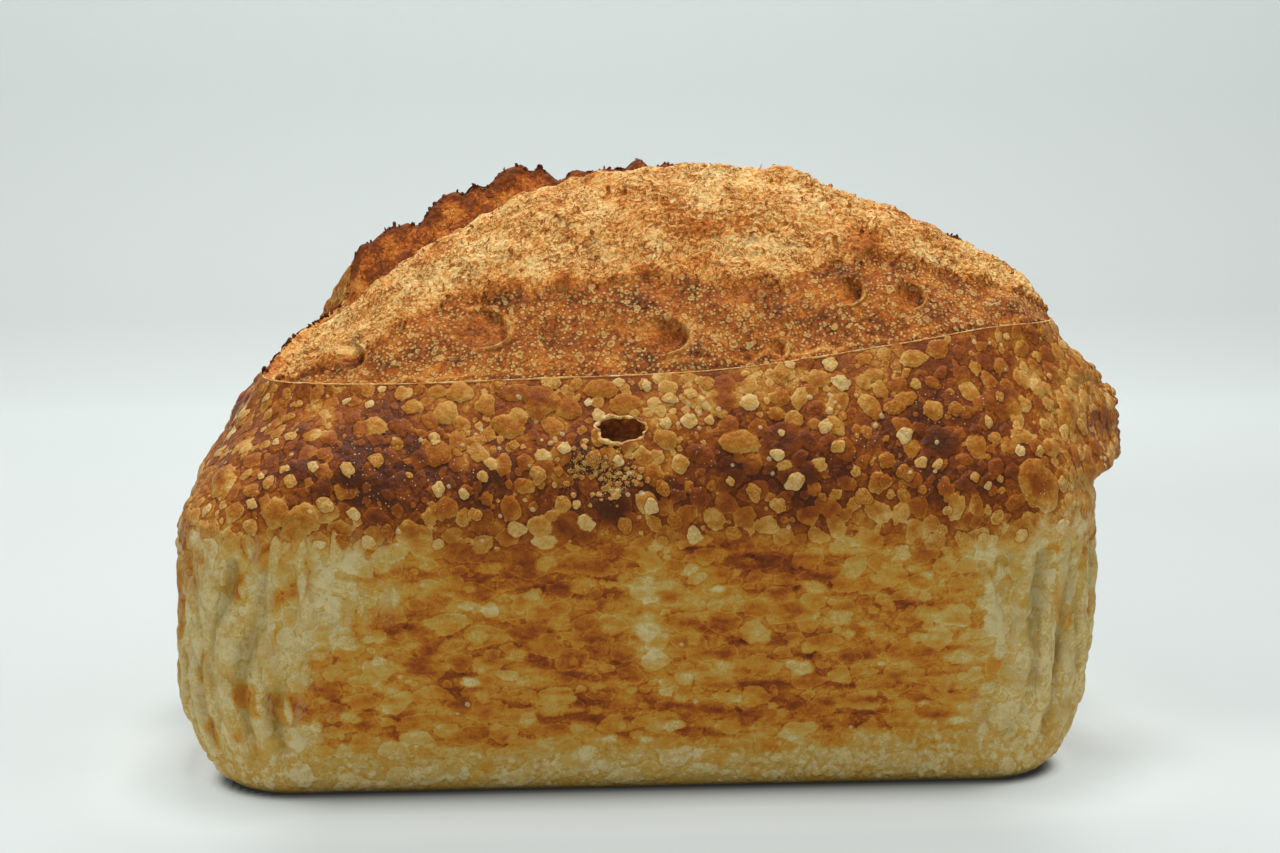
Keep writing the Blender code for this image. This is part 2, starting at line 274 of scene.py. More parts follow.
def curve(start, leave, arrive, end, rows):
    """Rings along a Bezier curve in each column, without its first point."""
    t = np.linspace(0, 1, rows + 1)[1:, None, None]
    return (1 - t) ** 3 * start + 3 * t * (1 - t) ** 2 * leave + 3 * t**2 * (1 - t) * arrive + t**3 * end


def ragged_edge(edge):
    """How far the ear's torn edge stands above or below its smooth line: small teeth on longer waves."""
    along = edge * [1, 0.3, 0]
    teeth = 0.8 * waves(along, 0.007, SEED + 8) + 0.8 * waves(along, 0.019, SEED + 9)
    return EAR_TEETH * (teeth + 0.75 * grain(along, 0.0032, SEED + 10))


def crust_rings(rim, edge, far):
    """The blistered crust: it bulges over the tin's rim and curves in to the edge of the split."""
    outward = np.stack([Rim.normal_x, Rim.normal_y, np.zeros(SKIN_COLUMNS)], axis=-1)
    up = np.array([0.0, 0.0, 1.0])
    at_end = (Rim.normal_x**2)[:, None]
    far = far[:, None] * (1 - at_end)
    leave = rim + outward * (0.0045 - 0.0040 * at_end) + up * (0.014 + 0.018 * far - 0.003 * at_end)
    arrive = edge + outward * (0.008 + 0.003 * far - 0.002 * at_end) - up * (0.010 + 0.010 * far)
    made = curve(rim, leave, arrive, edge, CRUST_ROWS)
    lumps = 0.0011 * waves(made, 0.038, SEED + 1) + 0.0005 * waves(made, 0.016, SEED + 2)
    rise = np.linspace(0, 1, CRUST_ROWS)[:, None]
    made = made + (lumps * np.sin(math.pi * np.clip(rise, 0, 0.9)))[..., None] * outward
    return made + (smooth(rise, 0.90, 1.0) * ragged_edge(edge) * far[:, 0])[..., None] * up


def add_tear(rings):
    """Pulls the crust of the right-hand end out into a ragged lip that ends in a sudden step.

    Returns the rings and how much of the torn crumb shows behind the lip, from 0 to 1.
    """
    x, y, z = rings[..., 0], rings[..., 1], rings[..., 2]
    low = z + 0.0016 * grain(rings * [0, 1, 0], 0.0040, SEED + 16)
    tall = smooth(low, TEAR_LOW, TEAR_LOW + TEAR_RISE) * (1 - smooth(z, TEAR_HIGH - TEAR_FALL, TEAR_HIGH))
    ragged = 1.04 + 0.06 * np.sin(z / 0.0019) + 0.05 * np.sin(z / 0.0031 + 1.0)
    near_lip = smooth(y, TEAR_EDGE_Y - 0.006, TEAR_EDGE_Y)
    ragged = ragged + 0.15 * grain(rings * [0, 0, 1], 0.0021, SEED + 15) * near_lip
    ragged = ragged + 0.08 * grain(rings, 0.0013, SEED + 17) * near_lip
    edge_y = TEAR_EDGE_Y + 0.0012 * np.sin(z / 0.0042)
    swell = np.clip((y - TEAR_START_Y) / (edge_y - TEAR_START_Y), 0, 1) ** TEAR_POWER
    swell *= 1 - smooth(y, edge_y, edge_y + TEAR_LIP)
    hollow = smooth(y, edge_y, edge_y + TEAR_LIP) * (1 - smooth(y, TEAR_EDGE_Y + 0.012, TEAR_BACK_Y))
    right = smooth(x, 0.070, 0.095)
    torn = right * tall * smooth(y, edge_y, edge_y + 0.0006)
    back = y + 0.0050 * waves(rings, 0.012, SEED + 14) + 0.0030 * grain(rings, 0.0040, SEED + 18)
    torn = torn * (1 - smooth(back, TEAR_BACK_Y - 0.013, TEAR_BACK_Y - 0.005))
    uneven = z + 0.0035 * grain(rings, 0.0060, SEED + 19)
    torn = torn * smooth(uneven, TEAR_LOW, TEAR_LOW + 0.004)
    torn = torn * (1 - smooth(uneven, TEAR_HIGH - 0.013, TEAR_HIGH - 0.008))
    rings[..., 0] += right * tall * (TEAR_OUT * ragged * swell - 0.0026 * hollow)
    rings[..., 1] += right * tall * swell * 0.0030
    return rings, torn


def keep_inside(points):
    """Eases points back inside the loaf's true size: in the last KNEE before a limit they close in on it
    exponentially and never pass it. The table's level needs no such easing."""
    for axis, way in ((0, -1), (0, 1), (1, -1), (1, 1), (2, 1)):
        limit = cad_box[0 if way < 0 else 1][axis]
        past = way * (points[..., axis] - limit) + KNEE
        eased = KNEE * (1 - np.exp(-np.clip(past, 0, None) / KNEE))
        points[..., axis] = np.where(past > 0, limit - way * (KNEE - eased), points[..., axis])
    return points


def outward_normals(rings, closed=True):
    """Unit normals of a grid of points, by the cross product of its two directions."""
    if closed:
        round_way = np.roll(rings, -1, axis=1) - np.roll(rings, 1, axis=1)
    else:
        round_way = np.gradient(rings, axis=1)
    normal = np.cross(round_way, np.gradient(rings, axis=0))
    return normal / np.maximum(np.linalg.norm(normal, axis=-1, keepdims=True), 1e-12)


NO_BLISTER = 0.003


class Bubbles:
    """Blisters scattered over a grid of points, raised one by one in its own small window.

    Inside its outline, a circle stretched and bent by a few cosines, a blister stands
    rise * (1 - t**flat) ** 0.5 high, where t is the share of the way out to the outline.
    edge is the distance to the nearest outline in metres, negative inside, and which is the blister there.
    """

    def __init__(self, points, bake, seed):
        self.points = points
        self.bake = bake
        self.rng = np.random.default_rng(seed)
        round_way = np.gradient(points, axis=1)
        up_way = np.gradient(points, axis=0)
        self.round_step = np.linalg.norm(round_way, axis=-1)
        self.up_step = np.linalg.norm(up_way, axis=-1)
        self.round_way = round_way / np.maximum(self.round_step, 1e-9)[..., None]
        self.up_way = up_way / np.maximum(self.up_step, 1e-9)[..., None]
        self.height = np.zeros(points.shape[:2])
        self.edge = np.full(points.shape[:2], NO_BLISTER)
        self.which = np.full(points.shape[:2], -1)
        self.made = []

    def scatter(self, count, radii, share, crowd, small):
        """Places and radii for up to count blisters that keep their distance, most where share is high."""
        weight = (self.round_step * self.up_step * share).ravel()
        tries = self.rng.choice(weight.size, count * 3, p=weight / weight.sum())
        sizes = radii[0] + (radii[1] - radii[0]) * self.rng.uniform(size=tries.size) ** small
        places = self.points.reshape(-1, 3)[tries]
        kept = []
        taken = np.zeros((0, 3))
        reach = np.zeros(0)
        for k in np.argsort(-sizes):
            if len(kept) >= count:
                break
            far = ((taken - places[k]) ** 2).sum(axis=1)
            if np.any(far < (crowd * (reach + sizes[k])) ** 2):
                continue
            kept.append(k)
            taken = np.vstack([taken, places[k]])
            reach = np.append(reach, sizes[k])
        spots = np.stack(np.unravel_index(tries[kept], self.height.shape), axis=1)
        return list(zip(map(tuple, spots), sizes[kept]))

    def nearest(self, x, z):
        """The grid place on the near side that is closest to one place seen from the front."""
        off = (self.points[..., 0] - x) ** 2 + (self.points[..., 2] - z) ** 2
        off = np.where(self.points[..., 1] < 0, off, 1.0)
        return np.unravel_index(np.argmin(off), off.shape)

    def raise_one(self, spot, radius, rise, tone, own, stretch, bend, flat, turn=None):
        """Raises one blister round a grid place. Its colour is its own tone, or with a small own share the
        crust's below it, paler by as much as the tone is at its middle."""
        row, column = spot
        reach = radius * 1.7 * max(stretch, 1.0)
        tall = int(reach / max(self.up_step[spot], 1e-4)) + 2
        wide = int(reach / max(self.round_step[spot], 1e-4)) + 2
        rows = np.arange(max(row - tall, 0), min(row + tall + 1, self.height.shape[0]))
        columns = np.arange(column - wide, column + wide + 1) % self.height.shape[1]
        window = np.ix_(rows, columns)
        apart = self.points[window] - self.points[spot]
        a = apart @ self.round_way[spot]
        b = apart @ self.up_way[spot]
        off = np.clip((apart**2).sum(axis=-1) - a**2 - b**2, 0, None)
        turn = self.rng.uniform(0, math.pi) if turn is None else turn
        a, b = (a * math.cos(turn) + b * math.sin(turn)) / stretch, b * math.cos(turn) - a * math.sin(turn)
        angle = np.arctan2(b, a)
        outline = 1.0
        for k in (2, 3, 4, 5, 7, 9):
            strength = bend * 1.5 / k * self.rng.uniform()
            outline = outline + strength * np.cos(k * angle + self.rng.uniform(0, 6.3))
        t = np.sqrt(off + a**2 + b**2) / (radius * outline)
        lift = rise * np.sqrt(np.clip(1 - t**flat, 0, 1))
        before = self.height[window]
        self.height[window] = np.maximum(before, lift)
        edge = (t - 1) * radius
        wins = (edge < self.edge[window]) & ((lift >= before) | (edge > 0))
        self.which[window] = np.where(wins & (edge < 0.0004), len(self.made), self.which[window])
        self.edge[window] = np.where(wins, edge, self.edge[window])
        self.made.append((tone, tone - self.bake[spot], own))

    def tones(self):
        """How brown each point is on top of its blister, and the bake below where there is none."""
        tone, paler, own = np.array(self.made + [(0.0, 0.0, 0.0)])[self.which].transpose(2, 0, 1)
        return own * tone + (1 - own) * (self.bake + paler)


def put_in_scene(name, data):
    """A new object that shows a mesh, a light or a camera."""
    made = bpy.data.objects.new(name, data)
    bpy.context.scene.collection.objects.link(made)
    return made


def quads_between(index, closed=False):
    """The faces between a grid's rows: the numbers of each one's four points."""
    right = np.roll(index, -1, axis=1) if closed else index[:, 1:]
    left = index if closed else index[:, :-1]
    return np.stack([left[:-1], right[:-1], right[1:], left[1:]], axis=-1).reshape(-1, 4)


def quad_mesh(name, points, quads, marks):
    """A mesh of smooth four-cornered faces. marks are numbers kept on its points, one each or one for all."""
    mesh = bpy.data.meshes.new(name)
    mesh.vertices.add(points.size // 3)
    mesh.vertices.foreach_set("co", points.astype(np.float32).ravel())
    mesh.loops.add(quads.size)
    mesh.loops.foreach_set("vertex_index", quads.astype(np.int32).ravel())
    mesh.polygons.add(len(quads))
    mesh.polygons.foreach_set("loop_start", np.arange(0, quads.size, 4, dtype=np.int32))
    mesh.update(calc_edges=True)
    mesh.polygons.foreach_set("use_smooth", np.ones(len(quads), dtype=bool))
    for mark, values in marks.items():
        values = (np.zeros(points.size // 3) + np.ravel(values)).astype(np.float32)
        mesh.attributes.new(mark, "FLOAT", "POINT").data.foreach_set("value", values)
    return mesh


def put_piece(name, mesh, places, material):
    """Turns a mesh into one of the loaf's pieces. places, one for each face's corner, is its map for baking."""
    mesh.uv_layers.new(name="OFBake").data.foreach_set("uv", places.astype(np.float32).ravel())
    mesh.materials.append(material)
    piece = put_in_scene(name, mesh)
    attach(piece, "root")
    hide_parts("loaf")


def put_grid(name, points, normals, marks, material, closed=False):
    """Makes one piece from a grid of points: quads between its rows, normals and number marks on its points,
    and a map whose two directions are the grid's."""
    rows, columns = points.shape[:2]
    quads = quads_between(np.arange(rows * columns).reshape(rows, columns), closed)
    mesh = quad_mesh(name, points, quads, marks)
    mesh.normals_split_custom_set_from_vertices(normals.reshape(-1, 3).tolist())
    places = np.meshgrid(np.linspace(MAP_LOW, MAP_HIGH, columns), np.linspace(MAP_LOW, MAP_HIGH, rows))
    put_piece(name, mesh, np.stack(places, axis=-1).reshape(-1, 2)[quads.ravel()], material)


def linear(red, green, blue):
    """A screen colour from 0 to 255 as the linear colour that a shader takes."""
    share = np.array([red, green, blue]) / 255
    return (*np.where(share <= 0.04045, share / 12.92, ((share + 0.055) / 1.055) ** 2.4).tolist(), 1.0)


class Number:
    """A number that a material works out at each point. The signs + - * and / join it to another one."""

    def __init__(self, recipe, socket):
        self.recipe = recipe
        self.socket = socket

    def __add__(self, other):
        return self.recipe.join("ADD", self, other)

    def __radd__(self, other):
        return self.recipe.join("ADD", other, self)

    def __sub__(self, other):
        return self.recipe.join("SUBTRACT", self, other)

    def __rsub__(self, other):
        return self.recipe.join("SUBTRACT", other, self)

    def __mul__(self, other):
        return self.recipe.join("MULTIPLY", self, other)

    def __truediv__(self, other):
        return self.recipe.join("DIVIDE", self, other)

    def __abs__(self):
        return self.recipe.join("ABSOLUTE", self, 0.0)


class Recipe:
    """A material's node tree, with short ways to add what the crust and the crumb are mixed from."""

    def __init__(self, name, roughness, shine):
        self.material = bpy.data.materials.new(name)
        self.material.use_nodes = True
        self.tree = self.material.node_tree
        self.shader = self.tree.nodes["Principled BSDF"]
        self.shader.inputs["Roughness"].default_value = roughness
        self.shader.inputs["Specular IOR Level"].default_value = shine

    def fill(self, node, inputs):
        """Puts a value, or another node's output, in each of a node's inputs."""
        for key, value in inputs.items():
            value = value.socket if isinstance(value, Number) else value
            if isinstance(value, bpy.types.NodeSocket):
                self.tree.links.new(value, node.inputs[key])
            else:
                node.inputs[key].default_value = value

    def add(self, kind, inputs, **settings):
        """One node, with its settings and inputs."""
        made = self.tree.nodes.new(kind)
        for key, value in settings.items():
            setattr(made, key, value)
        self.fill(made, inputs)
        return made

    def number(self, kind, inputs, **settings):
        """The number that one new node gives."""
        return Number(self, self.add(kind, inputs, **settings).outputs[0])

    def place(self):
        """Where a point is on the loaf, in metres."""
        return self.add("ShaderNodeTexCoord", {}).outputs["Object"]

    def mark(self, name):
        """A number kept on the mesh's points."""
        return Number(self, self.add("ShaderNodeAttribute", {}, attribute_name=name).outputs["Fac"])

    def join(self, kind, first, second):
        """Two numbers added, multiplied or joined in another way."""
        return self.number("ShaderNodeMath", {0: first, 1: second}, operation=kind)

    def step(self, value, low, high):
        """A smooth step of a number, from 0 at low to 1 at high."""
        inputs = {"Value": value, "From Min": low, "From Max": high}
        return self.number("ShaderNodeMapRange", inputs, interpolation_type="SMOOTHSTEP")

    def mix(self, share, first, second):
        """Two numbers mixed by a share."""
        return self.number("ShaderNodeMix", {0: share, 2: first, 3: second})

    def noise(self, size, detail, rough, twist=0.0, upright=1.0):
        """Cloudy noise from 0 to 1 with lumps of about size metres, curled by twist and drawn out upward."""
        place = self.place()
        if upright != 1.0:
            place = self.add("ShaderNodeMapping", {0: place, "Scale": (1.0, 1.0, 1 / upright)}).outputs[0]
        inputs = {"Vector": place, "Scale": 1 / size, "Detail": detail}
        inputs.update({"Roughness": rough, "Distortion": twist})
        return self.number("ShaderNodeTexNoise", inputs)

    def cells(self, scale, place=None, feature="F1"):
        """Random cells, scale of them to a metre."""
        inputs = {"Vector": self.place() if place is None else place, "Scale": scale}
        return self.add("ShaderNodeTexVoronoi", inputs, feature=feature)

    def near(self, cells, low, high):
        """A smooth step of the distance from the middle of a point's cell, or from its edge."""
        return self.step(cells.outputs["Distance"], low, high)

    def chosen(self, cells, low, high):
        """A smooth step of the random number that each cell has of its own."""
        own = self.number("ShaderNodeSeparateColor", {0: cells.outputs["Color"]})
        return self.step(own, low, high)

    def ramp(self, value, stops):
        """Colours along a number from 0 to 1."""
        made = self.add("ShaderNodeValToRGB", {0: value})
        elements = made.color_ramp.elements
        while len(elements) < len(stops):
            elements.new(0.5)
        for element, (place, colour) in zip(elements, stops):
            element.position = place
            element.color = linear(*colour)
        return made.outputs[0]

    def blend(self, share, first, second):
        """A colour with a share of a second one, which may be a screen colour, mixed in."""
        second = linear(*second) if isinstance(second, tuple) else second
        return self.add("ShaderNodeMix", {0: share, 6: first, 7: second}, data_type="RGBA").outputs[2]

    def finish(self, colour, heights):
        """Puts the colour on the shader and lays one bump over another for each height and its depth."""
        self.fill(self.shader, {"Base Color": colour})
        below = {}
        for height, depth in heights:
            bump = self.add("ShaderNodeBump", {"Height": height, "Distance": depth, "Strength": 1.0, **below})
            below = {"Normal": bump.outputs[0]}
        self.fill(self.shader, below)
        return self.material


TIN_COLOURS = (
    (0.00, (221, 200, 144)),
    (0.14, (206, 172, 96)),
    (0.28, (202, 155, 65)),
    (0.42, (200, 134, 41)),
    (0.56, (186, 108, 29)),
    (0.70, (156, 77, 23)),
    (1.00, (84, 38, 16)),
)
FREE_COLOURS = (
    (0.00, (228, 204, 154)),
    (0.14, (217, 181, 116)),
    (0.28, (203, 152, 74)),
    (0.41, (182, 118, 38)),
    (0.54, (160, 86, 20)),
    (0.66, (138, 68, 20)),
    (0.80, (106, 51, 18)),
    (0.94, (80, 40, 18)),
)
BEAD_COLOUR = (212, 184, 132)
DUST_COLOUR = (222, 198, 150)
FLOUR_COLOUR = (228, 190, 120)
GROOVE_SHADE_COLOUR = (136, 110, 46)
WAX_AND_HIGHLIGHT_COLOUR = (204, 182, 132)
TORN_COLOURS = (
    (0.00, (226, 182, 112)),
    (0.40, (200, 134, 60)),
    (0.70, (152, 84, 32)),
    (1.00, (98, 48, 22)),
)


def crust_finish():
    """Crust: browned by the marks on the mesh and by noise, paler on each blister, with beads and flour."""
    recipe = Recipe("crust", 0.44, 0.12)
    mark, noise, step, blend = recipe.mark, recipe.noise, recipe.step, recipe.blend
    tin = mark("tin")
    broad = noise(0.0070, 4.0, 0.6) - 0.5
    fine = noise(0.0013, 4.0, 0.65) - 0.5
    pores = noise(0.0005, 3.0, 0.6) - 0.5
    streaks = noise(0.0052, 5.0, 0.62, upright=0.30) - 0.5
    mottle = broad * 0.26 + fine * 0.42 + pores * 0.26 + streaks * tin * 0.38
    grains = recipe.near(recipe.cells(800.0), 0.50, 0.15)

    # the blisters: a dark ring round each, partly darker crust and partly painted shade at its foot, a pale
    # outline, and a darker middle on the big ones
    edge = mark("edge") + fine * 0.0010
    inside = step(edge / (1.0 + tin * 2.0), 0.00010, -0.00018)
    dark_ring_and_shade = step(edge, 0.00055, 0.0) * step(edge, -0.0001, 0.0001)
    outline = step(edge, -0.00042, -0.00016) * step(edge, 0.00010, -0.00006)
    under = mark("bake") + mottle + dark_ring_and_shade * 0.09 - grains * 0.10
    over = mark("top") + mottle - outline * 0.07
    over = over + step(edge, -0.0003, -0.0016) * 0.05 + step(edge, -0.0016, -0.0044) * 0.12
    level = recipe.mix(inside, under, over) - outline * tin * 0.07

    # the pearls, which stand over them
    free = 1.0 - tin * 0.7
    edge = mark("pearl_edge") + fine * 0.0005
    # a darker ring round each pearl's foot: partly darker crust, partly painted shade
    level = level + step(edge, 0.00045, 0.00005) * (free * 0.13)
    tone = mark("pearl") + (mottle * 0.9 + pores * 0.35)
    tone = tone - (step(edge, -0.00030, -0.00008) - 0.5) * (free * 0.13)
    level = recipe.mix(step(edge * free, 0.00009, -0.00020), level, tone)
    colour = blend(tin, recipe.ramp(level, FREE_COLOURS), recipe.ramp(level, TIN_COLOURS))

    # pale wax streaks at the corners, partly the crust's wax and partly painted highlight, and painted shade in
    # the corners' grooves; beads, flour, dust, and the torn crumb of the right-hand end
    wax_and_highlight = step(noise(0.0036, 4.0, 0.62, upright=3.0), 0.50, 0.60)
    colour = blend(wax_and_highlight * mark("corner") * 0.42, colour, WAX_AND_HIGHLIGHT_COLOUR)
    colour = blend(step(mark("groove") + broad * 1.2, 0.20, 0.90) * 0.42, colour, GROOVE_SHADE_COLOUR)
    colour = blend(step(mark("bead"), 0.00008, -0.00012) * 0.75, colour, BEAD_COLOUR)
    floury = recipe.cells(2300.0)
    floury = recipe.near(floury, 0.50, 0.26) * recipe.chosen(floury, 0.25, 0.45)
    floury = floury * step(mark("flour"), 0.15, 0.70)
    colour = blend(floury * 0.9, colour, FLOUR_COLOUR)
    dusty = recipe.cells(1150.0)
    dusty = recipe.near(dusty, 0.22, 0.12) * recipe.chosen(dusty, 0.62, 0.66) * mark("dust")
    colour = blend(dusty, colour, DUST_COLOUR)
    toast = noise(0.0022, 5.0, 0.65) + mark("char") * 0.5
    torn_colour = recipe.ramp(step(toast, 0.28, 0.78), TORN_COLOURS)
    colour = blend(step(mark("torn"), 0.35, 0.65), colour, torn_colour)
    return recipe.finish(colour, ((fine, 0.00046), (grains, 0.00007), (floury, 0.00030), (pores, 0.00015)))


def bake_level(points):
    """How brown the skin is under its blisters, from 0, pale straw, to 1, nearly burnt. Also how much of it
    baked free of the tin, and how much is a tin's corner, from 0 to 1."""
    x, y, z = np.moveaxis(points, -1, 0)
    front = y < 0
    free = 0.68 + 0.20 * bell((z - 0.0775) / 0.0105) + 0.10 * smooth(z, 0.098, 0.135)
    free = free + 0.08 * waves(points, 0.030, SEED + 20) + 0.05 * waves(points, 0.012, SEED + 21)
    free = free - 0.15 * smooth(grain(points, 0.0065, SEED + 28), 0.10, 0.34)
    free = free - 0.13 * smooth(grain(points, 0.0034, SEED + 29), 0.16, 0.36)
    free = free + 0.16 * front * bell((x - DARK_X) / 0.012, (z - DARK_Z) / 0.008)
    free = free - 0.16 * smooth(np.abs(x), 0.088, 0.108) * (1 - smooth(z, 0.070, 0.084))
    free = free - 0.08 * smooth(x, 0.084, 0.100) - 0.07 * smooth(np.abs(x), 0.066, 0.092)
    free = free - 0.14 * (1 - smooth(z, 0.061, 0.071))

    along = np.broadcast_to(Rim.along, z.shape)
    flat = np.stack([along, 0 * along, 2.6 * z], axis=-1)
    streak = 0.5 + 0.26 * waves(flat, 0.040, SEED + 22) + 0.26 * waves(flat, 0.017, SEED + 23)
    streak = streak + 0.20 * waves(flat, 0.008, SEED + 27)
    upper_left = 0.020 * smooth(-x, 0.030, 0.060) * front * smooth(z, 0.030, 0.050)
    from_corner = Rim.from_corner + 0.0030 * waves(points, 0.014, SEED + 85) - upper_left
    face = smooth(from_corner + 0.0030 * grain(points, 0.0060, SEED + 86), 0.0180, 0.0350)
    low = smooth(z + 0.0014 * waves(points, 0.02, SEED + 24), 0.0075, 0.0150)
    crease = bell((x + 0.0015 * np.sin(z / 0.006)) / 0.0045) * smooth(z, 0.022, 0.034)
    tin = 0.20 + face * low * (0.10 + 0.40 * np.clip(streak, 0, 1.15) - 0.26 * crease * front)
    tin = tin + 0.02 - 0.10 * (1 - face) * low + 0.03 * waves(points, 0.010, SEED + 25)
    patches = smooth(grain(points, 0.008, SEED + 38), 0.10, 0.44)
    tin = tin + (0.40 - 0.18 * (x > 0)) * (1 - face) * low * patches
    tin = tin + face * low * 0.16 * smooth(grain(flat, 0.0042, SEED + 81), 0.12, 0.50)
    tin = tin - face * low * 0.10 * smooth(grain(flat, 0.0050, SEED + 82), 0.12, 0.50)
    tin = tin + 0.04 * smooth(z, 0.048, 0.058) * face
    lower = 0.011 * smooth(-x, 0.099, 0.107) + 0.004 * smooth(x, 0.099, 0.107)
    over = z + lower + 0.0022 * waves(points, 0.024, SEED + 26) + 0.0022 * grain(points, 0.0050, SEED + 80)
    over = smooth(over, RIM_HEIGHT - 0.0035, RIM_HEIGHT + 0.006)
    return np.clip(tin * (1 - over) + free * over, 0.02, 1.0), over, (1 - face) * low * (1 - over)


wall = wall_rings()
edge_line, far_share, way_in = split_edge()
crust, torn = add_tear(crust_rings(wall[-1], edge_line, far_share))
edge_line = crust[-1].copy()
skin = np.concatenate([wall, crust])
torn = np.concatenate([np.zeros(wall.shape[:2]), torn])
grooves = np.array([flutes(height) for height in wall[:, 0, 2]])
grooves = np.concatenate([grooves, np.zeros(crust.shape[:2])])
bake, free_share, corner_share = bake_level(skin)
normal = outward_normals(skin)
x, y, z = np.moveaxis(skin, -1, 0)
front = y < 0

blisters = Bubbles(skin, bake, SEED + 30)
rise_share = np.concatenate([np.zeros(WALL_ROWS), np.linspace(0, 1, CRUST_ROWS)])[:, None]
room = (1 - smooth(rise_share, 0.975, 0.99)) * (1 - smooth(torn, 0.0, 0.2)) * smooth(z, 0.001, 0.004)

# the front's biggest blisters: their places seen from the front, radius, stretch sideways, and how brown
BIG_BLISTERS = (
    (-0.0463, 0.0904, 0.0031, 1.0, 0.30),
    (-0.0430, 0.0945, 0.0030, 1.1, 0.36),
    (-0.0480, 0.0946, 0.0021, 1.0, 0.42),
    (-0.0483, 0.0816, 0.0034, 1.0, 0.42),
    (-0.0539, 0.0914, 0.0022, 1.2, 0.38),
    (-0.0359, 0.0797, 0.0016, 1.1, 0.24),
    (-0.0381, 0.0769, 0.0014, 1.1, 0.30),
    (-0.0242, 0.0813, 0.0018, 1.1, 0.22),
    (-0.0134, 0.0928, 0.0010, 1.1, 0.10),
    (0.0019, 0.0926, 0.0016, 1.1, 0.26),
    (0.0053, 0.0958, 0.0020, 1.2, 0.32),
    (-0.0060, 0.0971, 0.0012, 1.2, 0.20),
    (-0.0030, 0.0905, 0.0012, 1.0, 0.34),
    (0.0097, 0.0887, 0.0018, 1.2, 0.20),
    (0.0145, 0.0888, 0.0012, 1.0, 0.24),
    (0.0173, 0.0904, 0.0015, 1.1, 0.36),
    (0.0240, 0.0927, 0.0021, 1.1, 0.20),
    (0.0129, 0.0973, 0.0012, 1.1, 0.26),
    (0.0021, 0.0809, 0.0018, 1.0, 0.28),
    (0.0074, 0.0791, 0.0022, 1.0, 0.30),
    (0.0213, 0.0839, 0.0030, 1.7, 0.38),
    (0.0314, 0.0788, 0.0018, 1.2, 0.28),
    (0.0396, 0.0788, 0.0017, 1.1, 0.26),
    (-0.0005, 0.0707, 0.0026, 1.1, 0.30),
    (-0.0198, 0.0704, 0.0020, 1.1, 0.34),
    (-0.0247, 0.0654, 0.0028, 1.2, 0.30),
    (-0.0147, 0.0663, 0.0020, 1.3, 0.22),
    (-0.0235, 0.0623, 0.0022, 1.8, 0.22),
    (-0.0533, 0.0632, 0.0042, 1.1, 0.28),
    (-0.0104, 0.0956, 0.0025, 1.7, 0.44),
    (-0.0050, 0.0925, 0.0026, 1.5, 0.44),
    (-0.0178, 0.0913, 0.0026, 1.3, 0.48),
    (-0.0243, 0.0929, 0.0044, 1.1, 0.50),
    (-0.0322, 0.0874, 0.0032, 1.2, 0.44),
    (-0.0624, 0.0872, 0.0028, 1.1, 0.34),
    (0.0918, 0.0727, 0.0068, 0.8, 0.46),
    (0.1028, 0.0880, 0.0052, 0.6, 0.34),
    (0.0950, 0.0935, 0.0032, 0.7, 0.24),
    (-0.0982, 0.0739, 0.0048, 1.0, 0.38),
    (-0.0850, 0.0690, 0.0036, 1.1, 0.40),
    (-0.0785, 0.0676, 0.0036, 1.2, 0.38),
    (-0.0812, 0.0636, 0.0034, 0.9, 0.32),
)
BIG_RADIUS = 0.0040
SWELLINGS = 34
CROWDED_BLISTERS = 3400
FLAT_BLISTERS = 2000
PEARLS = 470
FLOURY_BLISTERS = 70
PALE_FLAT_BLISTERS = 640
WAXY_RIDGES = 150
BOTTOM_GRAINS = 1000
HARD_BEADS = 360
FACE_FROM = 0.024


def pressed_lean(spot, rng):
    """The way in which the tin drew out a flat blister: sideways on its faces and upright at its corners."""
    return 0.5 * (rng.uniform() - 0.5) + (0 if Rim.from_corner[spot[1]] > FACE_FROM else math.pi / 2)


for at_x, at_z, radius, stretch, tone in BIG_BLISTERS:
    own, bend = (0.25, 0.30) if radius > BIG_RADIUS else (0.7, 0.18)
    spot = blisters.nearest(at_x, at_z)
    blisters.raise_one(spot, radius, min(0.30 * radius, 0.0012), tone, own, stretch, bend, 2.2, 0.0)
gap = np.clip(blisters.edge / 0.0012, 0, 1)
on_big = np.where(blisters.edge < -0.0012, 0.15, 0.0)
free_room = room * smooth(free_share, 0.30, 0.8)
tin_room = room * (1 - smooth(free_share, 0.3, 0.7))
rng = blisters.rng

# a few big, low swellings of the free crust, of nearly its own colour
for spot, radius in blisters.scatter(SWELLINGS, (0.0028, 0.0050), free_room * gap, 1.1, 1.6):
    tone = bake[spot] - rng.uniform(0.06, 0.16)
    blisters.raise_one(spot, radius, 0.15 * radius, tone, 0.2, rng.uniform(1.0, 1.4), 0.30, 2.2)

# the crowded blisters of the free crust: most a little paler than it, some golden
for spot, radius in blisters.scatter(CROWDED_BLISTERS, (0.0005, 0.0025), free_room * gap, 0.93, 2.2):
    rise = (0.14 + 0.16 * rng.uniform()) * radius
    tone = max(bake[spot] - 0.05 - 0.31 * rng.uniform() ** 1.5, 0.31)
    blisters.raise_one(spot, radius, rise, tone, 0.4, rng.uniform(1.0, 1.6), 0.20, 2.2)

# flat blisters that the tin's wall pressed
for spot, radius in blisters.scatter(FLAT_BLISTERS, (0.0006, 0.0028), tin_room, 0.92, 2.2):
    lean = pressed_lean(spot, rng)
    tone = bake[spot] + 0.02 - 0.26 * rng.uniform() ** 1.6
    rise = min(0.19 * radius, 0.00036)
    blisters.raise_one(spot, radius, rise, tone, 0.30, rng.uniform(1.1, 2.0), 0.24, 3.4, lean)

# the palest, roundest blisters, which stand proud of the rest
pearls = Bubbles(skin, bake, SEED + 36)
rng = pearls.rng
for spot, radius in pearls.scatter(PEARLS, (0.0005, 0.0020), free_room * (gap + on_big), 1.3, 1.9):
    tone = 0.04 + 0.42 * rng.uniform() ** 0.8
    pearls.raise_one(spot, radius, 0.30 * radius, tone, 1.0, rng.uniform(1.0, 1.35), 0.20, 2.2)

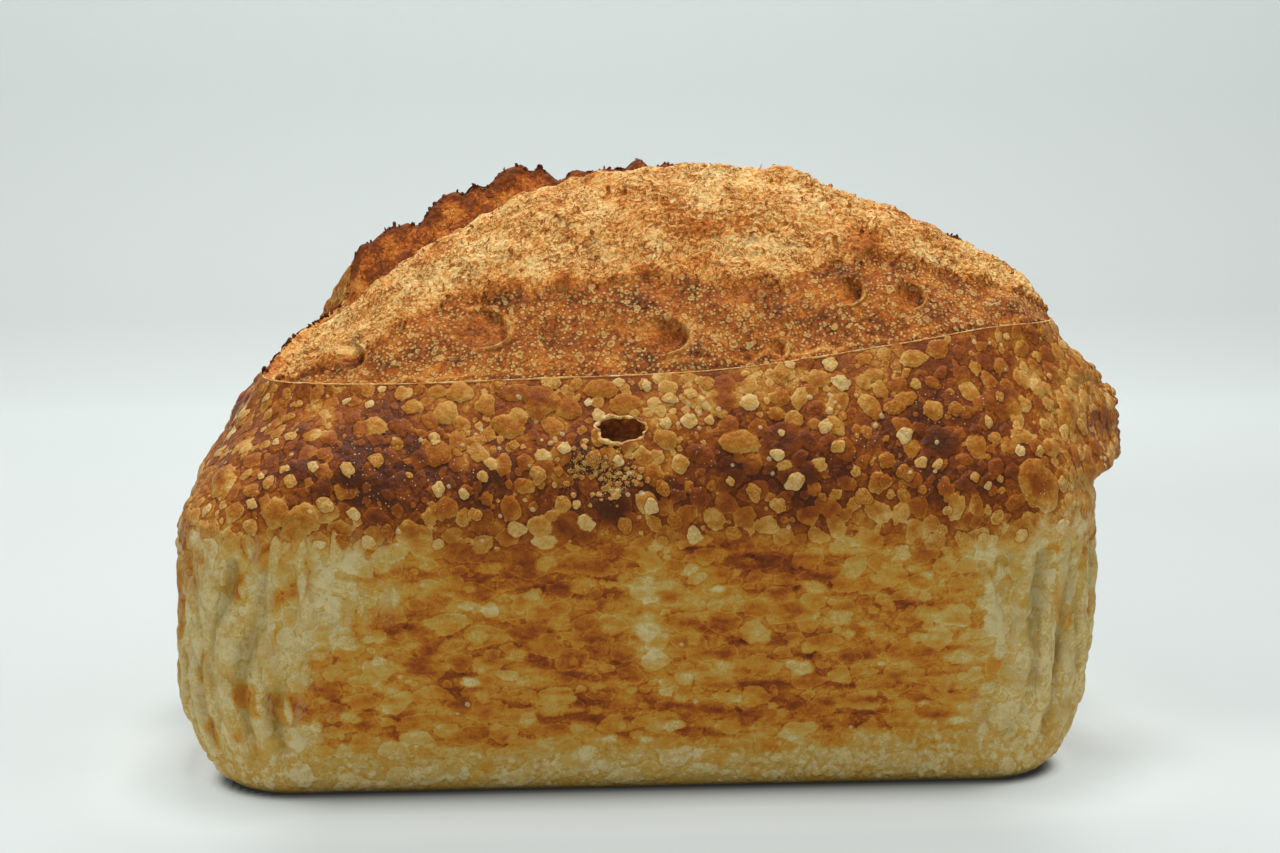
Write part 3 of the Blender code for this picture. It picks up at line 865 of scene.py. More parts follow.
# a floury cluster of tiny blisters under the burst one
flour = ((x - FLOUR_X) / 0.0085) ** 2 + ((z - FLOUR_Z) / 0.0062) ** 2
flour = np.where(front, np.exp(-(flour**2)), 0) * smooth(grain(skin, 0.006, SEED + 39), -0.5, 0.1)
for spot, radius in pearls.scatter(FLOURY_BLISTERS, (0.00045, 0.0008), room * flour, 1.0, 1.5):
    tone = rng.uniform(0.18, 0.36)
    pearls.raise_one(spot, radius, 0.40 * radius, tone, 1.0, rng.uniform(1.0, 1.4), 0.22, 2.2)

# the paler ones among the flat blisters
for spot, radius in pearls.scatter(PALE_FLAT_BLISTERS, (0.0005, 0.0021), tin_room, 1.3, 2.0):
    lean = pressed_lean(spot, rng)
    tone = max(bake[spot] - rng.uniform(0.08, 0.34), 0.04)
    rise = min(0.20 * radius, 0.00034)
    pearls.raise_one(spot, radius, rise, tone, 0.7, rng.uniform(1.1, 1.9), 0.30, 3.0, lean)

# pale waxy ridges down the fluted corners
corner_room = tin_room * smooth(corner_share, 0.3, 0.8) * (1 - 0.8 * smooth(grooves, 0.2, 0.7))
for spot, radius in pearls.scatter(WAXY_RIDGES, (0.0008, 0.0017), corner_room, 1.5, 1.6):
    lean = math.pi / 2 + 0.3 * (rng.uniform() - 0.5)
    tone = rng.uniform(0.02, 0.14)
    pearls.raise_one(spot, radius, 0.00070, tone, 0.8, rng.uniform(1.6, 3.8), 0.30, 2.2, lean)

# crowded pale grains along the bottom, thickest towards the right of the front
low_right = bell((x - 0.058) / 0.020) * front
strip = (1 - smooth(z, 0.0085 + 0.0035 * low_right, 0.0125 + 0.0035 * low_right)) * (0.14 + low_right)
for spot, radius in pearls.scatter(BOTTOM_GRAINS, (0.00040, 0.0011), room * strip, 0.9, 1.8):
    tone = bake[spot] - rng.uniform(0.06, 0.24)
    pearls.raise_one(spot, radius, 0.34 * radius, tone, 0.8, rng.uniform(1.0, 1.5), 0.22, 2.2)

# tiny hard beads, in drifts
beads = Bubbles(skin, bake, SEED + 37)
drifts = room * (0.05 + np.clip(waves(skin, 0.016, SEED + 31) - 0.5, 0, 1.5)) * (0.15 + 0.85 * free_share)
drifts = drifts + room * 2.5 * bell((x - 0.060) / 0.018, (z - 0.0085) / 0.004) * front
for spot, radius in beads.scatter(HARD_BEADS, (0.00026, 0.00066), drifts, 1.0, 2.0):
    rise = radius * (0.45 if free_share[spot] > 0.5 else 0.22)
    beads.raise_one(spot, radius, rise, 0.0, 1.0, beads.rng.uniform(1.0, 1.25), 0.08, 2.0)

# the relief: blisters, torn crumb and the burst bubble's hole, laid on the skin along its normals
relief = blisters.height + pearls.height + beads.height + 0.00012 * grain(skin, 0.0016, SEED + 32)
crags = 0.0018 * np.abs(grain(skin, 0.0034, SEED + 33)) + 0.0008 * grain(skin, 0.0014, SEED + 34)
relief = relief + torn * crags
hole_far = np.abs((x - HOLE_X) / HOLE_HALF_WIDTH) ** HOLE_POWER
hole_far = hole_far + np.abs((z - HOLE_Z) / HOLE_HALF_HEIGHT) ** HOLE_POWER
hole_in = np.where(front, np.clip(1 - hole_far, 0, 1), 0)
relief = relief * (1 - smooth(hole_in, 0.0, 0.1)) - HOLE_DEPTH * np.sqrt(hole_in)
relief = relief + 0.0004 * np.abs(grain(skin, 0.0012, SEED + 84)) * smooth(hole_in, 0.0, 0.3)
skin = keep_inside(skin + normal * (relief * smooth(z, 0.0, 0.0012))[..., None])
skin[0, :, 2] = 0.0
normal = outward_normals(skin)

x, y, z = np.moveaxis(skin, -1, 0)
dark_spot = bell((x - DARK_X) / 0.014, (z - DARK_Z) / 0.009)
dust = np.clip(waves(skin, 0.018, SEED + 35) * 0.9 - 0.1, 0, 1) * smooth(free_share, 0.5, 1)
dust = np.clip(dust + 1.2 * flour + np.where(y < 0, dark_spot, 0), 0, 1)
# inside the burst hole the skin is browner: painted shade in the hole, with random grain
in_hole = smooth(hole_in, 0.0, 0.2)
skin_marks = {
    "bake": bake + 0.10 * in_hole + 0.25 * in_hole * grain(skin, 0.0011, SEED + 83),
    "edge": np.where(hole_in > HOLE_CLEAR, NO_BLISTER, blisters.edge),
    "top": blisters.tones(),
    "pearl_edge": np.where(hole_in > HOLE_CLEAR, NO_BLISTER, pearls.edge),
    "pearl": pearls.tones(),
    "corner": corner_share,
    "tin": 1 - free_share,
    "bead": np.where(hole_in > HOLE_CLEAR, NO_BEAD, beads.edge),
    "dust": dust,
    "flour": flour,
    "groove": grooves,
    "torn": torn,
    "char": smooth(torn, 0.0, 0.5) * (1 - smooth(torn, 0.7, 1.0)),
}

# the skin is cut into a wall and a crust on each of the four sides, at the middles of the corners
crust_material = crust_finish()
way_round = Rim.along[1] * SKIN_COLUMNS
cuts = np.append(Rim.middles[-1] - way_round, Rim.middles)
cuts = np.round(cuts / way_round * SKIN_COLUMNS).astype(int)
for side, first, last in zip(("right", "back", "left", "front"), cuts[:-1], cuts[1:]):
    columns = np.arange(first, last + 1) % SKIN_COLUMNS
    for part, rows in (("wall", slice(0, WALL_ROWS)), ("crust", slice(WALL_ROWS - 1, None))):
        marks = {key: value[rows][:, columns] for key, value in skin_marks.items()}
        put_grid(f"{part}_{side}", skin[rows][:, columns], normal[rows][:, columns], marks, crust_material)

# The ear
# The far lip of the split, a flap of crust about 3 mm thick that dried and burnt at its ragged edge.
# Inside it the torn crumb runs down to the valley behind the risen crumb.

EAR_THICKNESS = 0.0034
EAR_REACH = 0.0075
NEAR_LIP = 0.0010
NEAR_DROP = 0.0009
EAR_ROWS = 60

RIDGE_HEIGHT = 0.1452
RIDGE_X = 0.0135
RIDGE_FALL_LEFT = 5.0
RIDGE_FALL_RIGHT = 3.9
RIDGE_W = 0.20
FLANK_POWER = 1.45
VALLEY_DEPTH = 0.0125


def half_across(x):
    """The split's half width at one place along it, as a share of its widest: an oval's power curve."""
    along = np.abs((x - SPLIT_X) / SPLIT_HALF_LENGTH) ** SPLIT_POWER
    return np.clip(1 - along, 1e-4, 1) ** (1 / SPLIT_POWER)


def crumb_height(x, w):
    """Height of the risen crumb at one place across it, from -1 at the near edge to 1 under the ear.

    Its near flank falls from the ridge to the split's near edge as a power curve, its far flank to a valley.
    """
    across = half_across(x)
    edge = through(NEAR_EDGE_LINE, x) - NEAR_DROP
    fall = np.where(x < RIDGE_X, RIDGE_FALL_LEFT, RIDGE_FALL_RIGHT)
    ridge = RIDGE_HEIGHT - fall * (x - RIDGE_X) ** 2
    ridge = edge + (ridge - edge) * smooth(across, 0.02, 0.45)
    valley = edge + (through(EAR_LINE, x) - VALLEY_DEPTH - edge) * smooth(across, 0.1, 0.8)
    near = 1 - np.abs((RIDGE_W - np.clip(w, -1.0, RIDGE_W)) / (1 + RIDGE_W)) ** FLANK_POWER
    beyond = np.clip((w - RIDGE_W) / (1 - RIDGE_W), 0, 1) ** 1.7
    height = edge + (ridge - edge) * near
    return height + (valley - ridge) * beyond


def ear_rings(edge, far, inward):
    """From the edge of the split over the lip's thickness and down its inner face to the crumb."""
    in_3d = np.concatenate([inward, np.zeros((SKIN_COLUMNS, 1))], axis=1)
    far = far[:, None]
    thick = NEAR_LIP + (EAR_THICKNESS - NEAR_LIP) * far
    reach = 2.2 * NEAR_LIP + (EAR_REACH - 2.2 * NEAR_LIP) * far
    foot = edge + in_3d * reach
    x, y = foot[:, 0], foot[:, 1]
    place_across = (y - SPLIT_Y) / (SPLIT_HALF_WIDTH * half_across(x))
    foot[:, 2] = np.minimum(crumb_height(x, place_across), edge[:, 2] - 0.6 * NEAR_DROP)
    drop = (edge[:, 2] - foot[:, 2])[:, None] * np.array([0, 0, 1.0])
    top = edge + in_3d * thick * 0.9
    return curve(edge, edge + in_3d * thick * 0.5 + drop * 0.02, top - drop * 0.35, foot, EAR_ROWS)


CRUMB_COLOURS = (
    (0.00, (241, 210, 147)),
    (0.25, (228, 177, 102)),
    (0.50, (209, 129, 50)),
    (0.72, (170, 88, 31)),
    (0.88, (126, 67, 31)),
    (1.00, (92, 46, 22)),
)
DOT_COLOUR = (246, 206, 124)


# the toasted shreds' sizes, widths and depths, the cell walls' pitches and depths, and for the band's dots
# and rings the pitch, the outline's two distances, the share of a dark core and the share left out
SHRED_LINES = ((0.0050, 0.026, 0.36), (0.0028, 0.034, 0.28))
CELL_WALLS = ((0.0019, 0.15), (0.0009, 0.14))
BAND_DOTS = (
    (0.0010, 0.46, 0.28, 0.0, 0.05),
    (0.0021, 0.38, 0.27, 0.5, 0.30),
    (0.0036, 0.34, 0.26, 0.8, 0.55),
)


def crumb_finish():
    """Torn and baked crumb: small torn cells, creamy inside and toasted on their walls, with thin toasted
    shreds, and in the smooth band pale dots and rings on brown."""
    recipe = Recipe("crumb", 0.60, 0.10)
    mark, noise, step = recipe.mark, recipe.noise, recipe.step
    rough, band = mark("rough"), mark("band")
    fine = noise(0.0009, 5.0, 0.70)
    level = mark("toast") + (noise(0.0060, 4.0, 0.6) - 0.5) * 0.36 + (fine - 0.5) * 0.70
    level = level + (noise(0.0022, 5.0, 0.7, twist=0.5) - 0.5) * band * 0.84
    bends = recipe.add("ShaderNodeTexNoise", {"Vector": recipe.place(), "Scale": 260.0, "Detail": 3.0})
    bends = {0: bends.outputs["Color"], "Scale": 0.0036}
    bends = recipe.add("ShaderNodeVectorMath", bends, operation="SCALE").outputs[0]
    bent = recipe.add("ShaderNodeVectorMath", {0: recipe.place(), 1: bends}, operation="ADD").outputs[0]
    shreds = 0.0
    for size, width, depth in SHRED_LINES:
        line = step(abs(noise(size, 5.0, 0.62, twist=0.8) - 0.5), width, 0.0)
        patch = step(noise(size * 2.3, 2.0, 0.5), 0.38, 0.54)
        shreds = shreds + line * patch * depth
    for pitch, depth in CELL_WALLS:
        shreds = shreds + recipe.near(recipe.cells(1 / pitch, bent, "DISTANCE_TO_EDGE"), 0.20, 0.0) * depth
    flakes = step(noise(0.0030, 5.0, 0.7, twist=1.2), 0.52, 0.66)
    level = level + (shreds - 0.13) * (rough + 0.30) + (flakes - 0.2) * rough * 0.30
    level = recipe.join("MINIMUM", level, 1.0 - rough * 0.32)
    crowd = step(noise(0.0075, 3.0, 0.6), 0.26, 0.50)
    dots = 0.0
    for pitch, low, high, core, left_out in BAND_DOTS:
        cells = recipe.cells(1 / pitch)
        dot = recipe.near(cells, low, high) * recipe.chosen(cells, left_out, left_out + 0.2)
        dot = dot * (1.0 - recipe.near(cells, 0.22, 0.10) * core)
        dots = recipe.join("MAXIMUM", dots, dot * crowd)
    dots = dots * band
    colour = recipe.blend(dots * 0.54, recipe.ramp(level, CRUMB_COLOURS), DOT_COLOUR)
    pores = noise(0.0006, 3.0, 0.6)
    return recipe.finish(colour, ((fine, 0.00018), (shreds, 0.00036), (dots, 0.00026), (pores, 0.00009)))


crumb_material = crumb_finish()
ear = np.concatenate([edge_line[None], ear_rings(edge_line, far_share, way_in)])
down = np.linspace(0, 1, EAR_ROWS + 1)[:, None]
rough = 0.0005 * grain(ear * [1, 1, 0.45], 0.0030, SEED + 40) + 0.0003 * grain(ear, 0.0012, SEED + 41)
rough = rough * far_share * np.sin(math.pi * np.clip(down, 0, 1)) ** 0.5
ear = ear + outward_normals(ear) * rough[..., None]
ear_normal = outward_normals(ear)
ear = keep_inside(ear)
ear_toast = 1.10 - 0.40 * smooth(down, 0.10, 0.62) + 0.08 * smooth(down, 0.7, 1.0)
ear_toast = ear_toast + 0.13 * waves(ear, 0.008, SEED + 42) + 0.10 * grain(ear, 0.0024, SEED + 43)
# at its left end the ear is pale torn crumb too
crumbly = (1 - smooth(ear[..., 0] + 0.0015 * waves(ear, 0.012, SEED + 44), -0.0745, -0.0690)) * far_share
ear_toast = ear_toast * (1 - crumbly) + crumbly * (0.34 + 0.10 * grain(ear, 0.0024, SEED + 45))
ear_marks = {"toast": ear_toast, "band": 0.0, "rough": 0.4 + 0.6 * crumbly}
put_grid("split_lip", ear, ear_normal, ear_marks, crumb_material, closed=True)

# The risen crumb
# The crumb that pushed up through the split while the loaf baked. Along the cut it dried to a smooth brown
# band full of fine bubbles and a few burst ones, and above the band it tore into a rough golden dome.

CRUMB_COLUMNS = 462
FLANK_ROWS = 190
FAR_ROWS = 92
BAND_W = -0.62
BAND_STEP = 0.0010
# the band's burst pits: their places seen from the front, radius and stretch sideways
PIT_PLACES = (
    (-0.069, 0.101, 0.0036, 1.0),
    (-0.0385, 0.108, 0.0050, 1.45),
    (0.0045, 0.107, 0.0048, 1.35),
    (0.031, 0.104, 0.0030, 1.0),
    (0.050, 0.1165, 0.0036, 1.1),
    (0.065, 0.115, 0.0036, 1.1),
)
# dark torn tufts on the dome: their places seen from the front, and radius
TORN_SPOTS = (
    (0.0150, 0.1310, 0.0030),
    (0.0085, 0.1365, 0.0022),
    (0.0560, 0.1265, 0.0028),
    (0.0020, 0.1215, 0.0020),
    (-0.0180, 0.1190, 0.0018),
)

rows_w = np.concatenate([np.linspace(-1, RIDGE_W, FLANK_ROWS + 1)[:-1], np.linspace(RIDGE_W, 1.0, FAR_ROWS)])
turn = np.linspace(-0.992, 0.992, CRUMB_COLUMNS) * math.pi / 2
columns_x = SPLIT_X + SPLIT_HALF_LENGTH * np.sign(turn) * np.abs(np.sin(turn)) ** 0.9
w, x = np.meshgrid(rows_w, columns_x, indexing="ij")
across = half_across(x)
crumb = np.stack([x, SPLIT_Y + w * SPLIT_HALF_WIDTH * across, crumb_height(x, w)], axis=-1)
band_top = BAND_W + 0.10 * waves(crumb * [1, 0, 0], 0.040, SEED + 3)
band_top = band_top + 0.025 * grain(crumb * [1, 0, 0], 0.0045, SEED + 50)
band_top = band_top + 0.14 * bell((x + 0.042) / 0.020) + 0.07 * bell((x - 0.024) / 0.016)
band_top = band_top + 0.17 * smooth(x, 0.048, 0.072)
dome = smooth(w, band_top - 0.02, band_top + 0.05)
fade = smooth(w, -1.0, -0.93)
step = dome * (1 - smooth(w, -0.3, 0.1))
swells = 0.0006 * waves(crumb, 0.009, SEED + 4) + 0.0007 * waves(crumb, 0.022, SEED + 5)
crumb[..., 2] += (BAND_STEP * step + swells) * fade
crumb_normal = outward_normals(crumb, closed=False)

torn_big = grain(crumb, 0.0034, SEED + 52)
torn_mid = grain(crumb + 0.0010 * torn_big[..., None], 0.0017, SEED + 53)
torn_fine = grain(crumb, 0.0009, SEED + 54)
crags = 0.5 * (0.9 - 2.2 * np.abs(torn_big)) + 0.9 * (0.8 - 2.2 * np.abs(torn_mid)) + 0.5 * torn_fine
relief = dome * 0.00045 * crags + (1 - dome) * 0.00014 * torn_mid
band = 1 - dome
torn_share = dome.copy()
on_flank = w < RIDGE_W
pit_toast_and_shade = np.zeros(w.shape)
for pit_x, pit_z, radius, stretch in PIT_PLACES:
    off_x = (crumb[..., 0] - pit_x) / (radius * stretch)
    off_z = (crumb[..., 2] - pit_z) / (0.8 * radius)
    out = np.hypot(off_x, off_z)
    bowl = np.where(on_flank, np.clip(1 - out**2, 0, 1) ** 0.4, 0)
    lip = np.where(on_flank, bell((out - 1.05) / 0.10) * smooth(0.85 * off_x - 0.4 * off_z, 0.0, 0.8), 0)
    # painted shade: a dark ring inside each pit's right side, and the bowl darker towards its right
    shade = np.where(on_flank, bell((out - 0.84) / 0.13) * smooth(0.9 * off_x - 0.3 * off_z, 0.2, 0.9), 0)
    lines = np.cos(17 * np.arctan2(off_z, off_x - 0.45) + 5.0 * torn_big)
    side = off_x.clip(-1, 1)
    relief = relief - 0.0036 * bowl * (0.5 + 0.5 * side) ** 1.3 + 0.0008 * lip + 0.00009 * lines * bowl
    pit_toast_and_shade = pit_toast_and_shade + bowl * (0.10 * side + 0.07 * lines) - 0.50 * lip + 0.26 * shade
    band = band * (1 - 0.75 * smooth(bowl, 0.3, 0.8)) * (1 - lip)
    torn_share = torn_share * (1 - smooth(bowl, 0.1, 0.5)) * (1 - lip)
spot_toast = np.zeros(w.shape)
for spot_x, spot_z, radius in TORN_SPOTS:
    out = np.hypot((crumb[..., 0] - spot_x) / (1.5 * radius), (crumb[..., 2] - spot_z) / radius)
    spot = np.where(on_flank, bell(out), 0) * smooth(torn_mid, -0.45, 0.2)
    relief = relief + 0.0010 * spot
    spot_toast = spot_toast + 0.50 * spot
crumb = keep_inside(crumb + crumb_normal * (relief * fade)[..., None])
crumb_normal = outward_normals(crumb, closed=False)
toast = dome * (0.235 + 0.105 * crags) + (1 - dome) * (0.700 + 0.08 * waves(crumb, 0.012, SEED + 55))
toast = toast + 0.08 * bell((w - band_top - 0.01) / 0.035) + pit_toast_and_shade + spot_toast
toast = toast + 0.16 * dome * np.exp(-np.clip(w - band_top, 0, None) / 0.16)
inward_by = (w + 1) * SPLIT_HALF_WIDTH * across
second_cut = bell((inward_by - 0.0023) / 0.00035) * (0.5 + 0.5 * waves(crumb, 0.03, SEED + 58)).clip(0, 1)
toast = toast + 0.12 * bell((inward_by - 0.0012) / 0.0006) - 0.34 * second_cut
toast = toast + 0.10 * smooth(w, 0.5, 0.9) + 0.09 * waves(crumb, 0.016, SEED + 56) * dome
seam = int(np.searchsorted(rows_w, -0.45))
for name, rows in (("crumb_band", slice(0, seam + 1)), ("crumb_dome", slice(seam, None))):
    marks = {"toast": toast[rows], "band": band[rows], "rough": torn_share[rows]}
    put_grid(name, crumb[rows], crumb_normal[rows], marks, crumb_material)

# The shreds
# Where dough tore while it baked, thin shreds curled up and browned at their tips: on the dome, along the
# band's top and along the ear.

SHRED_RINGS = 6
SHRED_TIP = 0.20
SHRED_ROOT = 0.0002
DOME_SHREDS = 800
FRINGE_SHREDS = 160
EAR_SHREDS = 260


def put_shreds(name, roots, ways, lifts, lengths, widths, curls, toast):
    """Makes one piece of many small curled shreds, each a closed four-sided tube of SHRED_RINGS rings.

    A shred's middle line is an arc that starts along its way and bends towards its lift, its width
    swells and then narrows to a point, and its thickness is a fixed share of its width.
    """
    t = np.linspace(0, 1, SHRED_RINGS)[None, :, None]
    bend = curls[:, None, None] * t
    length = lengths[:, None, None]
    middle = roots[:, None] + length * t * (np.cos(bend) * ways[:, None] + np.sin(bend) * lifts[:, None])
    wide = np.maximum(widths[:, None, None] * (0.35 + 1.3 * t) * (1 - t**2.2) ** 0.5, 0.00008)
    side = wide * unit(np.cross(ways, lifts))[:, None]
    rise = 0.36 * wide * lifts[:, None]
    points = np.stack([middle + side, middle + rise, middle - side, middle - rise], axis=2)
    count = len(roots)
    index = np.arange(SHRED_RINGS * 4).reshape(SHRED_RINGS, 4)
    quads = np.concatenate([quads_between(index, closed=True), index[:1, ::-1], index[-1:]])
    faces = (quads[None] + (np.arange(count) * SHRED_RINGS * 4)[:, None, None]).reshape(-1, 4)
    toast = np.repeat(toast[:, None] + SHRED_TIP * t[0, :, 0], 4, axis=-1)
    marks = {"toast": toast, "band": 0.0, "rough": 0.0}
    mesh = quad_mesh(name, keep_inside(points), faces, marks)

    # the map gives each shred a square of its own
    ring_share, turn_share = np.divmod(np.arange((SHRED_RINGS - 1) * 4), 4)
    u = np.stack([ring_share, ring_share, ring_share + 1, ring_share + 1], axis=-1) / SHRED_RINGS
    v = np.stack([turn_share, turn_share + 1, turn_share + 1, turn_share], axis=-1) / 4
    ends = np.array([[0, 0, 1, 1], [0, 0, 1, 1]]) / SHRED_RINGS / 4
    u = np.concatenate([u, (SHRED_RINGS - 1) / SHRED_RINGS + ends])
    v = np.concatenate([v, np.array([[0, 1, 1, 0], [2, 3, 3, 2]]) / 4])
    cells = math.ceil(math.sqrt(count))
    spots = np.stack([np.arange(count) % cells, np.arange(count) // cells], axis=-1)[:, None, None]
    put_piece(name, mesh, (spots + 0.06 + 0.88 * np.stack([u, v], axis=-1)[None]) / cells, crumb_material)


def shred_ways(normals, count, low, high):
    """Random directions along a surface, lifted off it by an angle between low and high."""
    ways = rng.normal(size=(count, 3))
    ways = unit(ways - (ways * normals).sum(axis=1)[:, None] * normals)
    lift = rng.uniform(low, high, count)[:, None]
    return np.cos(lift) * ways + np.sin(lift) * normals, np.cos(lift) * normals - np.sin(lift) * ways


def pick(share, count):
    """Random points of a grid, thickest where share is high."""
    return rng.choice(share.size, count, p=(share / share.sum()).ravel())


rng = np.random.default_rng(SEED + 57)
area = np.linalg.norm(np.gradient(crumb, axis=1), axis=-1)
area = area * np.linalg.norm(np.gradient(crumb, axis=0), axis=-1)
share = dome * area * smooth(w, -0.6, -0.4) * (0.25 + smooth(torn_big, -0.2, 0.4)) * (1 - smooth(w, 0.7, 0.9))
picks = pick(share, DOME_SHREDS)
normals = crumb_normal.reshape(-1, 3)[picks]
ways, lifts = shred_ways(normals, DOME_SHREDS, -0.10, 0.45)
roots = crumb.reshape(-1, 3)[picks] - SHRED_ROOT * normals
lengths = 0.0006 + 0.0013 * rng.uniform(size=DOME_SHREDS) ** 2
widths = lengths * rng.uniform(0.22, 0.42, DOME_SHREDS)
curls = rng.uniform(-0.5, 0.9, DOME_SHREDS)
tones = 0.26 + 0.26 * rng.uniform(size=DOME_SHREDS) ** 1.5 + spot_toast.ravel()[picks]
put_shreds("dome_shreds", roots, ways, lifts, lengths, widths, curls, tones)

picks = pick(bell((w - band_top - 0.02) / 0.02) * area * (np.abs(turn[None]) < 1.35), FRINGE_SHREDS)
normals = crumb_normal.reshape(-1, 3)[picks]
ways, lifts = shred_ways(normals, FRINGE_SHREDS, 0.1, 0.8)
roots = crumb.reshape(-1, 3)[picks] - SHRED_ROOT * normals
lengths = 0.0006 + 0.0011 * rng.uniform(size=FRINGE_SHREDS) ** 2
curls = rng.uniform(-0.4, 0.8, FRINGE_SHREDS)
tones = rng.uniform(0.42, 0.64, FRINGE_SHREDS)
put_shreds("fringe_shreds", roots, ways, lifts, lengths, 0.36 * lengths, curls, tones)

share = np.where(np.abs(down - 0.10) < 0.08, 1.0, 0.0) * far_share * (1 - smooth(torn[-1], 0, 0.5))
picks = pick(share, EAR_SHREDS)
ways = unit(rng.normal(size=(EAR_SHREDS, 3)) * 0.7 + [0, 0, 0.6])
lifts = unit(np.cross(ways, rng.normal(size=(EAR_SHREDS, 3))))
roots = ear.reshape(-1, 3)[picks] - 0.0004 * ways
lengths = 0.0008 + 0.0010 * rng.uniform(size=EAR_SHREDS) ** 2
curls = rng.uniform(-0.5, 0.7, EAR_SHREDS)
tones = rng.uniform(0.72, 0.92, EAR_SHREDS)
put_shreds("ear_shreds", roots, ways, lifts, lengths, 0.50 * lengths, curls, tones)

# The cut edge
# The near lip of the split, where the blade went in: a thin line of skin that dried pale and stands just
# proud of the crust.

CUT_WIDTH = 0.0005
CUT_RISE = 0.00034
CUT_SIDES = 12
CUT_TAPER = 25

cut_columns = np.where(far_share < 0.02)[0]
cut_columns = cut_columns[np.argsort(edge_line[cut_columns, 0])]
line = edge_line[cut_columns]
forward = unit(np.gradient(line, axis=0))
inward = np.concatenate([way_in[cut_columns], np.zeros((len(line), 1))], axis=1)
above = np.cross(forward, inward)
above *= np.sign(above[:, 2])[:, None]
around = np.linspace(0, 2 * math.pi, CUT_SIDES + 1)[:-1][:, None, None]
swing = 0.72 + 0.45 * grain(line, 0.006, SEED + 70) + 0.35 * grain(line, 0.0018, SEED + 71)
from_end = np.minimum(np.arange(len(line)), np.arange(len(line))[::-1])
width = CUT_WIDTH * (1 - 0.35 * smooth(line[:, 0], 0.03, 0.09)) * swing.clip(0.16, 1.5)
width = (width * np.sqrt(np.clip(from_end / CUT_TAPER, 0.02, 1)))[:, None]
cut_edge = line + inward * 0.0001
rise = (CUT_RISE / CUT_WIDTH) * width
cut_edge = cut_edge + width * np.cos(around) * inward + rise * np.sin(around) * above
cut_edge = np.concatenate([cut_edge, cut_edge[:1]])[::-1]
marks = {"toast": 0.24 + 0.22 * grain(cut_edge, 0.003, SEED + 72), "band": 0.0, "rough": 0.0}
put_grid("cut_edge", cut_edge, outward_normals(cut_edge, closed=False), marks, crumb_material)

# The burst bubble
# One blister on the front broke while it baked and left an oval hole with a thin, pale, curled rim.

HOLE_RIM = 0.00068
HOLE_STEPS = 120
HOLE_SMOOTH = 6

t = np.linspace(0, 2 * math.pi, HOLE_STEPS + 1)
wobble = 1 + 0.05 * np.sin(3 * t + 1) + 0.04 * np.sin(7 * t) + 0.03 * np.sin(13 * t + 2)
wobble = wobble * (np.abs(np.cos(t)) ** HOLE_POWER + np.abs(np.sin(t)) ** HOLE_POWER) ** (-1 / HOLE_POWER)
rim_x = HOLE_X + HOLE_HALF_WIDTH * wobble * np.cos(t)
rim_z = HOLE_Z + HOLE_HALF_HEIGHT * wobble * np.sin(t)
rim_y = np.array([skin[blisters.nearest(*place)][1] for place in zip(rim_x, rim_z)])
nearby = (np.arange(HOLE_STEPS + 1)[:, None] + np.arange(-HOLE_SMOOTH, HOLE_SMOOTH + 1)) % HOLE_STEPS
rim_line = np.stack([rim_x, rim_y[nearby].mean(axis=1) - 0.0002, rim_z], axis=-1)
around = np.linspace(0, 2 * math.pi, 11)[:, None, None]
thick = 0.80 + 0.36 * np.cos(t - 3.2) + 0.25 * np.sin(5 * t + 0.6) * np.sin(2 * t) + 0.12 * np.sin(17 * t)
thick = (HOLE_RIM * thick.clip(0.35, 1.6))[:, None]
away = unit(np.stack([np.cos(t), 0 * t, np.sin(t) * HOLE_HALF_WIDTH / HOLE_HALF_HEIGHT], axis=-1))
hole_rim = rim_line + thick * (np.cos(around) * away * 0.8 + np.sin(around) * np.array([0, -1.0, 0]))
marks = {"toast": 0.16 + 0.30 * grain(hole_rim, 0.0015, SEED + 73), "band": 0.0, "rough": 0.0}
put_grid("burst_bubble_rim", hole_rim, outward_normals(hole_rim, closed=False), marks, crumb_material)

# The foot
# The flat underside, baked against the tin's floor: matt, pale brown, with shallow trapped-air dimples.

FOOT_ROWS = 90

inner = np.linspace(0, 1, FOOT_ROWS)[:, None, None]
foot = skin[0][None] * inner
dimples = np.clip(grain(foot, 0.007, SEED + 60), 0, 1) * 0.0005
dimples = dimples + np.clip(grain(foot, 0.0028, SEED + 61), 0, 1) * 0.0003
foot[..., 2] = dimples * (1 - inner[..., 0] ** 6)
foot_bake = 0.44 + 0.10 * waves(foot, 0.03, SEED + 62) - 0.2 * smooth(inner[..., 0], 0.9, 1.0)
marks = dict.fromkeys(skin_marks, 0.0)
marks.update(edge=NO_BLISTER, top=0.4, pearl_edge=NO_BLISTER, pearl=0.4, tin=1.0, bead=NO_BEAD)
marks["bake"] = foot_bake[1:]
put_grid("foot", foot[1:], outward_normals(foot)[1:], marks, crust_material, closed=True)

# The table and the backdrop
# A white sweep: a level floor that curves up behind the loaf, lit by one broad soft light above. Painted shade
# darkens its white along its length, under the loaf and right before it, and painted light brightens it beside
# the loaf's two ends. The white also glows a little by itself.

FLOOR_REACH = 0.62
SWEEP_RADIUS = 0.16
# how much the white glows by itself: painted light, though the sweep is no lamp
SWEEP_GLOW = 0.26
# painted shade along the sweep's length: its place, y plus z, and the share of white kept
SWEEP_SHADES = (
    (-0.30, 0.94),
    (-0.06, 0.91),
    (-0.01, 0.85),
    (0.05, 0.84),
    (0.16, 0.86),
    (0.34, 0.85),
    (0.50, 0.875),
    (0.62, 0.92),
    (0.70, 0.87),
    (0.76, 0.825),
    (0.83, 0.87),
    (0.89, 0.90),
    (0.96, 0.95),
)
